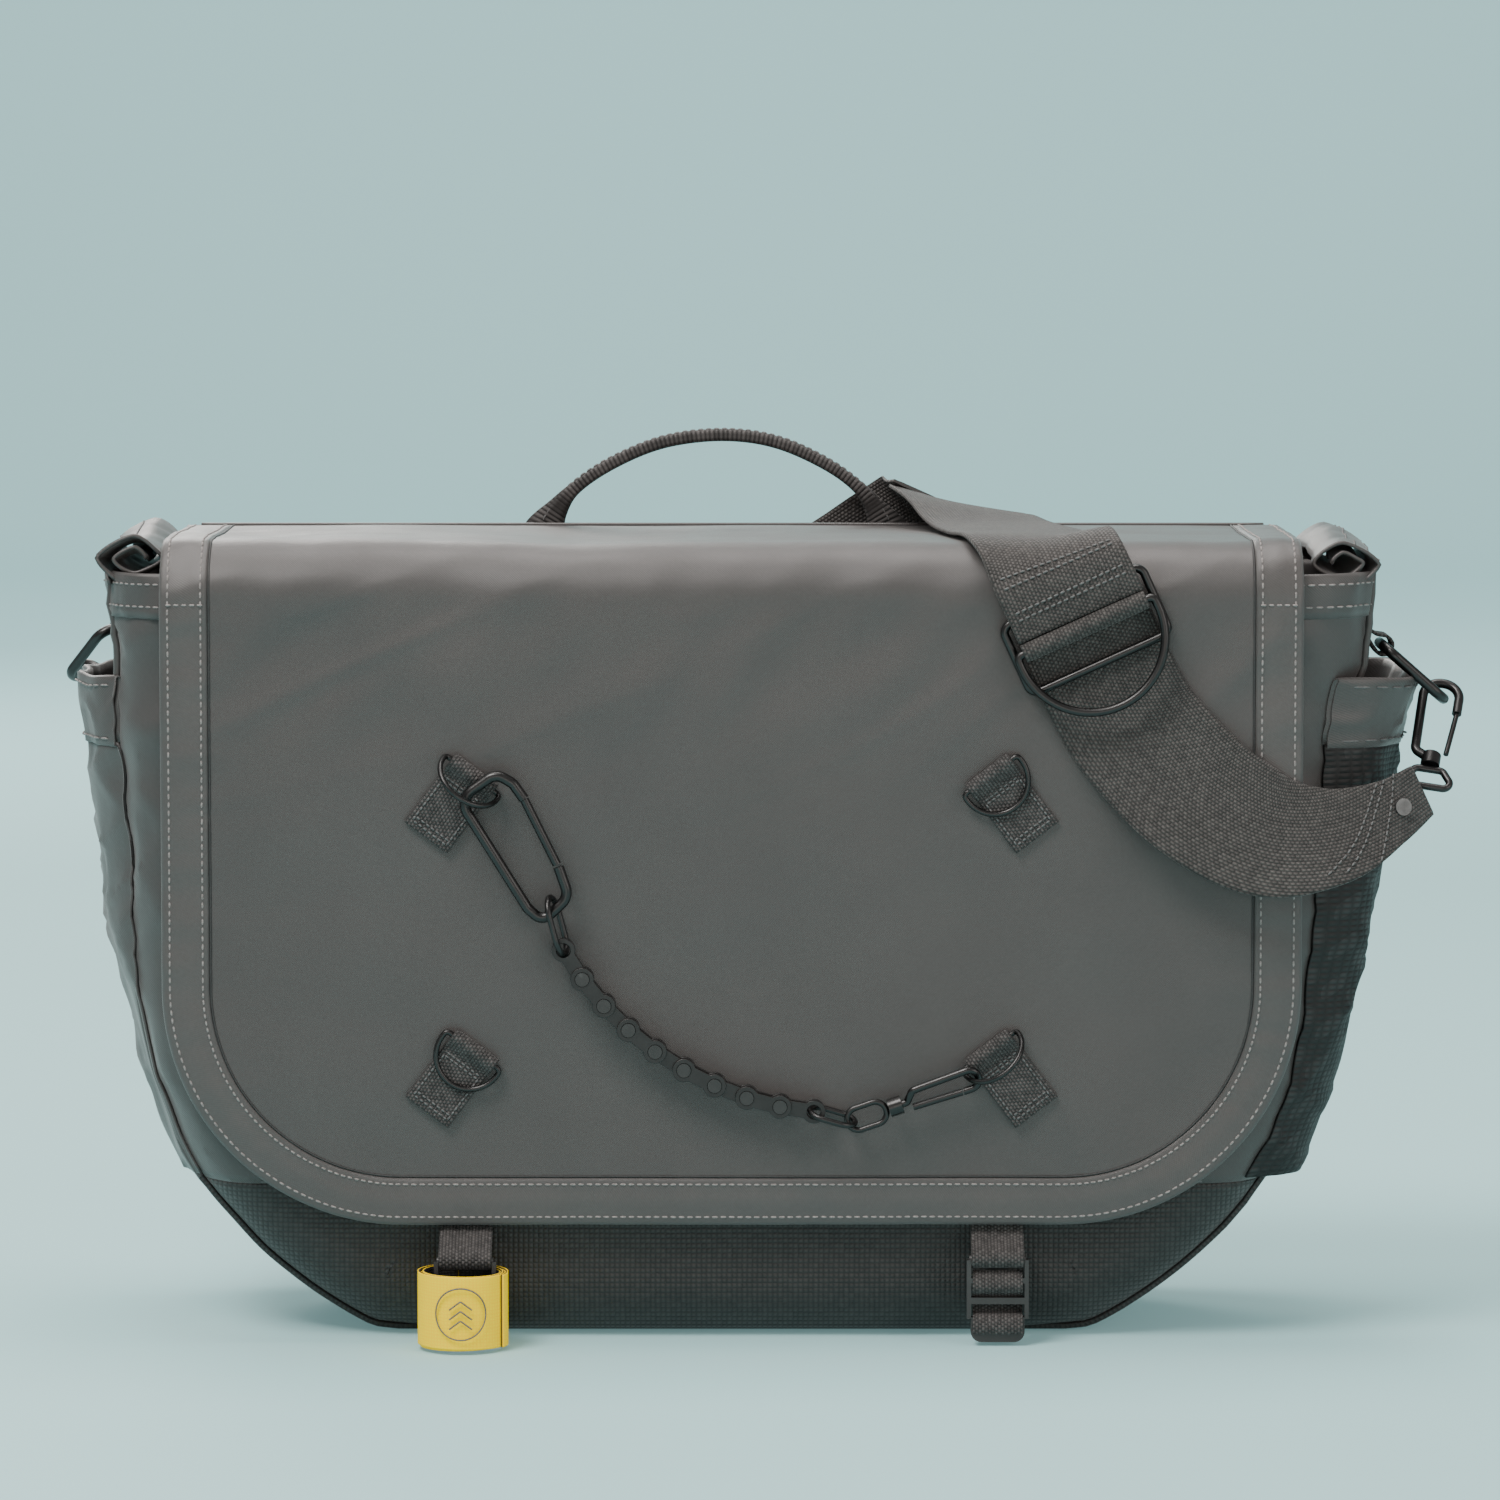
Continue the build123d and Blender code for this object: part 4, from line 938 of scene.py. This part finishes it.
# Stations of centre, width direction and, where the strap is gathered or folded, half width
FRONT = [
    ((83.5, 66.5, 305), (-.82, -.28, .27)), ((91, 42, 304.8), (-.93, -.30, .14)),
    ((98, 14, 300.6), (-.95, -.31, .03)), ((105, -20, 299.2), (-.94, -.33, 0)),
    ((111, -52, 299.2), (-.93, -.36, 0)), ((116.5, -68.5, 296.5), (-.93, -.22, -.25)),
    ((120.3, -77.6, 289), (-.92, -.05, -.38)), ((125, -79.6, 279), (-.911, 0, -.413)),
    ((128.5, -79.4, 271.2), (-.911, 0, -.413))]
LOWER = [
    ((125.5, -74.0, 277), (.911, 0, .413)), ((143, -74.0, 239), (.911, 0, .413)),
    ((156, -77.3, 221), (.80, .05, .60)), ((175, -82.5, 203), (.52, .22, .80)),
    ((198, -84, 191), (.20, .30, .93), 23.5), ((222, -80, 190.5), (-.08, .38, .92), 18.5),
    ((243, -68, 197.5), (-.30, .20, .90), 12.5), ((256.6, -54, 204.6), (-.62, -.30, .70), 10)]
REAR = [
    ((-220.9, 96.3, 204.6), (.65, -.23, .70), 9.5), ((-201.3, 96.6, 196.5), (.35, -.07, .90), 14),
    ((-178, 91, 192), (.08, -.05, .98), 19.5), ((-150, 83, 195), (-.10, 0, .98), 24.5),
    ((-118, 78.5, 204), (-.25, 0, .97)), ((-80, 76.5, 217), (-.32, 0, .95)),
    ((-20, 76, 240), (-.42, 0, .91)), ((36, 76, 271), (-.52, 0, .86)),
    ((60, 76.8, 286.5), (-.62, 0, .78)), ((74, 76.8, 296), (-.69, -.03, .70)),
    ((83.2, 67.5, 304.8), (-.82, -.28, .27))]


def strap(stations, count):
    return Ribbon([(*row, STRAP_HALF)[:3] for row in stations], STRAP_THICK, count)


front_strap, lower_strap, rear_strap = strap(FRONT, 150), strap(LOWER, 180), strap(REAR, 300)
front_web = front_strap.piece("strap_front_web", "strap_webbing", "flap", wave=0.25, seed=1.0)
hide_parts("strap_front_run")


def on_strap(strap, outward):
    """The face of the strap that looks outward at its middle, as a surface for stitches."""
    facing = strap.up[len(strap.at) // 2] @ outward > 0
    return lambda s, b, lift: strap.point(s, b, lift if facing else -strap.thickness - lift)


lower_web = lower_strap.piece("strap_lower_web", "strap_webbing", None, wave=0.3, seed=5.0)
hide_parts("strap_lower_run")
rear_web = rear_strap.piece("strap_rear_web", "strap_webbing", None, wave=0.3, seed=8.0)
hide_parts("strap_rear_run")

trim = Seams()
on_front = on_strap(front_strap, (0, -1, 1))
end = front_strap.length()
for s in (end - 23.0, end - 20.0, end - 11.0, end - 8.0):
    trim.row(on_front, [(s, -22), (s, 22)], pitch=2.6, radius=0.45, lift=0.3)
trim.piece("strap_front_stitches", "grey_thread", "flap")

trim = Seams()
on_lower = on_strap(lower_strap, (0, -1, 0))
end = lower_strap.length()
for s0, s1 in ((end - 52, end - 20), (end - 46, end - 16), (end - 34, end - 10)):
    trim.row(on_lower, [(s0, -15), (s1, 12)], pitch=2.6, radius=0.4, lift=0.25)
lower_stitches = trim.piece("strap_lower_stitches", "grey_thread")

# The strap's end, folded round the slider's bar
FOLD_RADIUS, FOLD_STEP = 2.9, 36
lo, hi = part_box("strap_fold")
fold_middle = (np.array(lo) + np.array(hi)) / 2 / MM
fold_path = []
for k in range(-1, 12):
    a = math.radians(100 + FOLD_STEP * k)
    spot = fold_middle + (vec(.413, 0, -.911) * math.cos(a) + vec(0, 1, 0) * math.sin(a)) * FOLD_RADIUS
    fold_path.append((spot, (.911, 0, .413), 24.6))
fold = Ribbon(fold_path, 1.3, 70)
piece = fold.piece("strap_fold_web", "strap_webbing", "flap")
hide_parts("strap_fold")

for piece in (lower_web, lower_stitches):
    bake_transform(piece)
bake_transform(rear_web)

# ---- Side ring tabs ----

LEFT_TURN = Matrix.Rotation(math.radians(135.0), 4, "Z")
RIGHT_CORNER, LEFT_CORNER = Vector((207.0, -24.0, 0.0)), Vector((-207.0, 40.0, 0.0))


def placed(p, side):
    """A right-hand point, or the same point on the bag's rear left corner."""
    return tuple(p) if side > 0 else tuple(LEFT_CORNER + LEFT_TURN @ (Vector(p) - RIGHT_CORNER))


path = [(232.4, 283), (232.6, 272), (236.5, 266), (241, 261.5), (245.5, 260.4), (247.6, 257.6),
        (246.3, 254.2), (243.0, 253.6), (240.4, 256.4), (237.6, 260.5), (234.6, 259.8), (232.6, 254)]
for side, word in ((1, "right"), (-1, "left")):
    across = (0, 1, 0) if side > 0 else tuple(LEFT_TURN @ Vector((0, 1, 0)))
    loop = Ribbon([(placed((x, -24.0, z), side), across, 8.0) for x, z in path], 1.3, 90)
    piece = loop.piece(f"side_tab_{word}", "tab_webbing", REST)
    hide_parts(f"side_ring_tab_{word}")

# ---- Lash straps and the slap band ----

LASH_X = 98.7
for side, word, bar_y in ((-1, "left", -81.0), (1, "right", -76.0)):
    path = [(-65.4, 98), (-66.2, 80), (-66.2, 60), (-66.6, 46), (bar_y + 4.5, 38.5), (bar_y - 1.2, 35.0),
            (bar_y - 2.5, 32.0), (bar_y - 1.0, 29.6), (bar_y + 1.6, 29.8), (bar_y + 2.6, 32.5),
            (bar_y + 6.0, 36.5), (-65.6, 44.0)]
    web = Ribbon([((side * LASH_X, y, z), (1, 0, 0), TAB_HALF) for y, z in path], TAB_THICK, 110)
    piece = web.piece(f"lash_web_{word}", "tab_webbing", REST, wave=0.1, seed=side)
    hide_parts(f"lash_strap_{word}")

# The strap's tail, threaded through the right buckle and hanging from it
path = [(-75.0, 27.5), (-77.9, 25.0), (-78.6, 21.5), (-76.0, 19.0), (-73.2, 16.0), (-74.0, 12.0),
        (-78.2, 10.6), (-79.6, 7.2), (-79.0, 4.6)]
tail = Ribbon([((LASH_X, y, z), (1, 0, 0), 9.2) for y, z in path], 1.1, 60)
piece = tail.piece("lash_tail_right", "tab_webbing", "lash_buckle_right", seed=2.0)

BAND_X, BAND_Y, BAND_LOW, BAND_HIGH = -99.7, -82.5, 1.5, 29.5
BAND_RADIUS, BAND_TURNS, BAND_PITCH = 17.2, 3.35, 0.95
levels = (BAND_LOW, BAND_LOW + 0.5, 9, 16, 23, BAND_HIGH - 1.5, BAND_HIGH - 1.0)
rows, uv = [], []
for a in np.linspace(0, BAND_TURNS * TAU, 300):
    r = BAND_RADIUS - BAND_PITCH * a / TAU - (0.25 if a > 0.3 else 0.0)
    angle = math.radians(-28) + a
    x, y = BAND_X + r * math.cos(angle), BAND_Y + r * math.sin(angle)
    skew = 0.5 * math.sin(a * 0.5)
    rows.append([(x, y, z + skew) for z in levels])
    uv.append([(r * a, z) for z in (0, .5, 7.5, 14.5, 21.5, 27.5, 28)])
outer = solid(grid_piece("slap_band_face", rows, uv, "band_vinyl", "slap_band"), 0.35, 0.0)
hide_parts("slap_band")
axis = vec(BAND_X, BAND_Y, 0)
inner_rows = axis + (np.array(rows) - axis) * (0.972, 0.972, 1.0)
lining = solid(grid_piece("slap_band_lining", inner_rows, uv, "band_back", "slap_band"), 0.3, 0.0)


def band_spot(u, z):
    """On the band's face, u to the right of its front and z above its middle."""
    a = math.radians(-90) + u / (BAND_RADIUS + 0.1)
    r = BAND_RADIUS + 0.25
    return vec(BAND_X + r * math.cos(a), BAND_Y + r * math.sin(a), 15.2 + z)


ink = [("ring", [(9.6 * math.cos(t), 9.6 * math.sin(t)) for t in np.linspace(0, TAU, 72)])]
for k, rise in enumerate((-4.0, -0.4, 3.2)):
    ink.append((f"chevron_{k}", [(-4.2, rise - 1.6), (0.0, rise + 1.6), (4.2, rise - 1.6)]))
for word, path in ink:
    step = distances(path)
    at = np.linspace(0, step[-1], max(20, int(step[-1])))
    line = [band_spot(*between(s, step, path)) for s in at]
    tube_piece(f"slap_band_print_{word}", line, 0.3, "band_print", "slap_band", 6)

# ---- Grab handle ----

HANDLE_X = -4.0
# Half the handle as x, y, z, half width and thickness as a share of the grip's
half_grip = [(-71, 69.6, 284, 1.2, 4.2), (-69, 69.4, 294, 1.6, 3.6), (-64, 69, 303, 2.6, 1.9),
             (-56.5, 69, 311.5, 3.5, 1.05), (-42, 69, 321, 3.6, 1.0), (-22, 69, 329, 3.6, 1.0),
             (0, 69, 331.6, 3.6, 1.0)]
grip_rows = half_grip + [(-x * 0.93, y, z, h, k) for x, y, z, h, k in half_grip[::-1][1:]]
stations = [((HANDLE_X + x, y, z), (0, 1, 0), h) for x, y, z, h, k in grip_rows]
grip = Ribbon(stations, 4.6, 200, [row[4] for row in grip_rows])
handle_web = grip.piece("handle_web", "handle_webbing", None, wave=0.15, seed=3.0)
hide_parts("grab_handle")
trim = Seams()
for s0 in (-2.2, 2.2):
    trim.row(grip.point, [(14, s0), (grip.length() - 14, s0)], pitch=3.0, radius=0.35)
handle_stitches = trim.piece("handle_stitches", "grey_thread")
for piece in (handle_web, handle_stitches):
    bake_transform(piece)

# ---- Hardware kept from the CAD ----

SLOTS = {entry["node"]: entry["material_slot"] for entry in frame["record"]["subparts"]}
for node, thing in frame["nodes"].items():
    if thing.hide_render:
        continue
    thing.data.materials.clear()
    thing.data.materials.append(MAT["chain_pin" if node == "chain_pins" else SLOTS[node]])
    if node.startswith(("chain_", "lash_buckle")):
        weld = thing.modifiers.new("weld", "WELD")
        weld.merge_threshold = 0.02 * MM
        edge = thing.modifiers.new("soft_edges", "BEVEL")
        edge.width, edge.segments, edge.limit_method = 0.22 * MM, 2, "ANGLE"
        edge.harden_normals = True

# ---- Studio ----


def backdrop():
    """A pale floor that sweeps up into a wall behind the bag."""
    near, start, sweep, high = -8000.0, 4500.0, 1500.0, 6000.0
    profile = [(near, 0.0), (start, 0.0)]
    for a in np.linspace(0, math.pi / 2, 20)[1:]:
        profile.append((start + sweep * math.sin(a), sweep - sweep * math.cos(a)))
    profile += [(start + sweep, high)]
    rows = [[(x, y, z - 0.2) for x in np.linspace(near, -near, 6)] for y, z in profile]
    uv = [[(0, 0)] * 6 for _ in profile]
    return grid_piece("backdrop", rows, uv, "backdrop")


stage_paint = Shader("backdrop_paint", rough=0.9, specular=0.2)
stage_paint.colour(stage_paint.noise(2.0), [(0.3, (0.33, 0.53, 0.54)), (0.7, (0.335, 0.535, 0.545))])
stage_paint.bsdf.inputs["Emission Color"].default_value = (0.34, 0.60, 0.61, 1.0)
stage_paint.bsdf.inputs["Emission Strength"].default_value = 0.3
MAT["backdrop"] = stage_paint.material
backdrop()


def area_light(name, where, aim, size, power, tint=(1, 1, 1)):
    lamp = bpy.data.objects.new(name, bpy.data.lights.new(name, "AREA"))
    lamp.data.shape, lamp.data.size, lamp.data.energy, lamp.data.color = "SQUARE", size, power, tint
    lamp.location = where
    lamp.rotation_euler = (Vector(aim) - Vector(where)).to_track_quat("-Z", "Y").to_euler()
    bpy.context.scene.collection.objects.link(lamp)


area_light("key", (-1.1, -1.4, 2.6), (0, 0, 0.15), 1.2, 95, (1.0, 0.96, 0.93))
area_light("fill", (1.9, -1.6, 1.0), (0, 0, 0.15), 1.4, 19, (1.0, 0.92, 0.87))
area_light("wall_wash", (0.0, 2.8, 2.8), (0, 6.0, 1.4), 3.0, 105, (1.0, 1.0, 1.0))
area_light("top", (0.0, 0.3, 2.4), (0, 0, 0.2), 1.2, 42, (1.0, 0.96, 0.93))
area_light("rear", (-0.8, 2.6, 1.6), (0, 0, 0.2), 1.2, 42, (1.0, 0.92, 0.87))
area_light("low_fill", (0.0, -1.9, 0.12), (0, 0, 0.2), 0.9, 7, (1.0, 0.84, 0.76))
world = bpy.data.worlds.new("studio")
bpy.context.scene.world = world
world.use_nodes = True
world.node_tree.nodes["Background"].inputs[0].default_value = (1.0, 0.97, 0.95, 1)
world.node_tree.nodes["Background"].inputs[1].default_value = 0.42
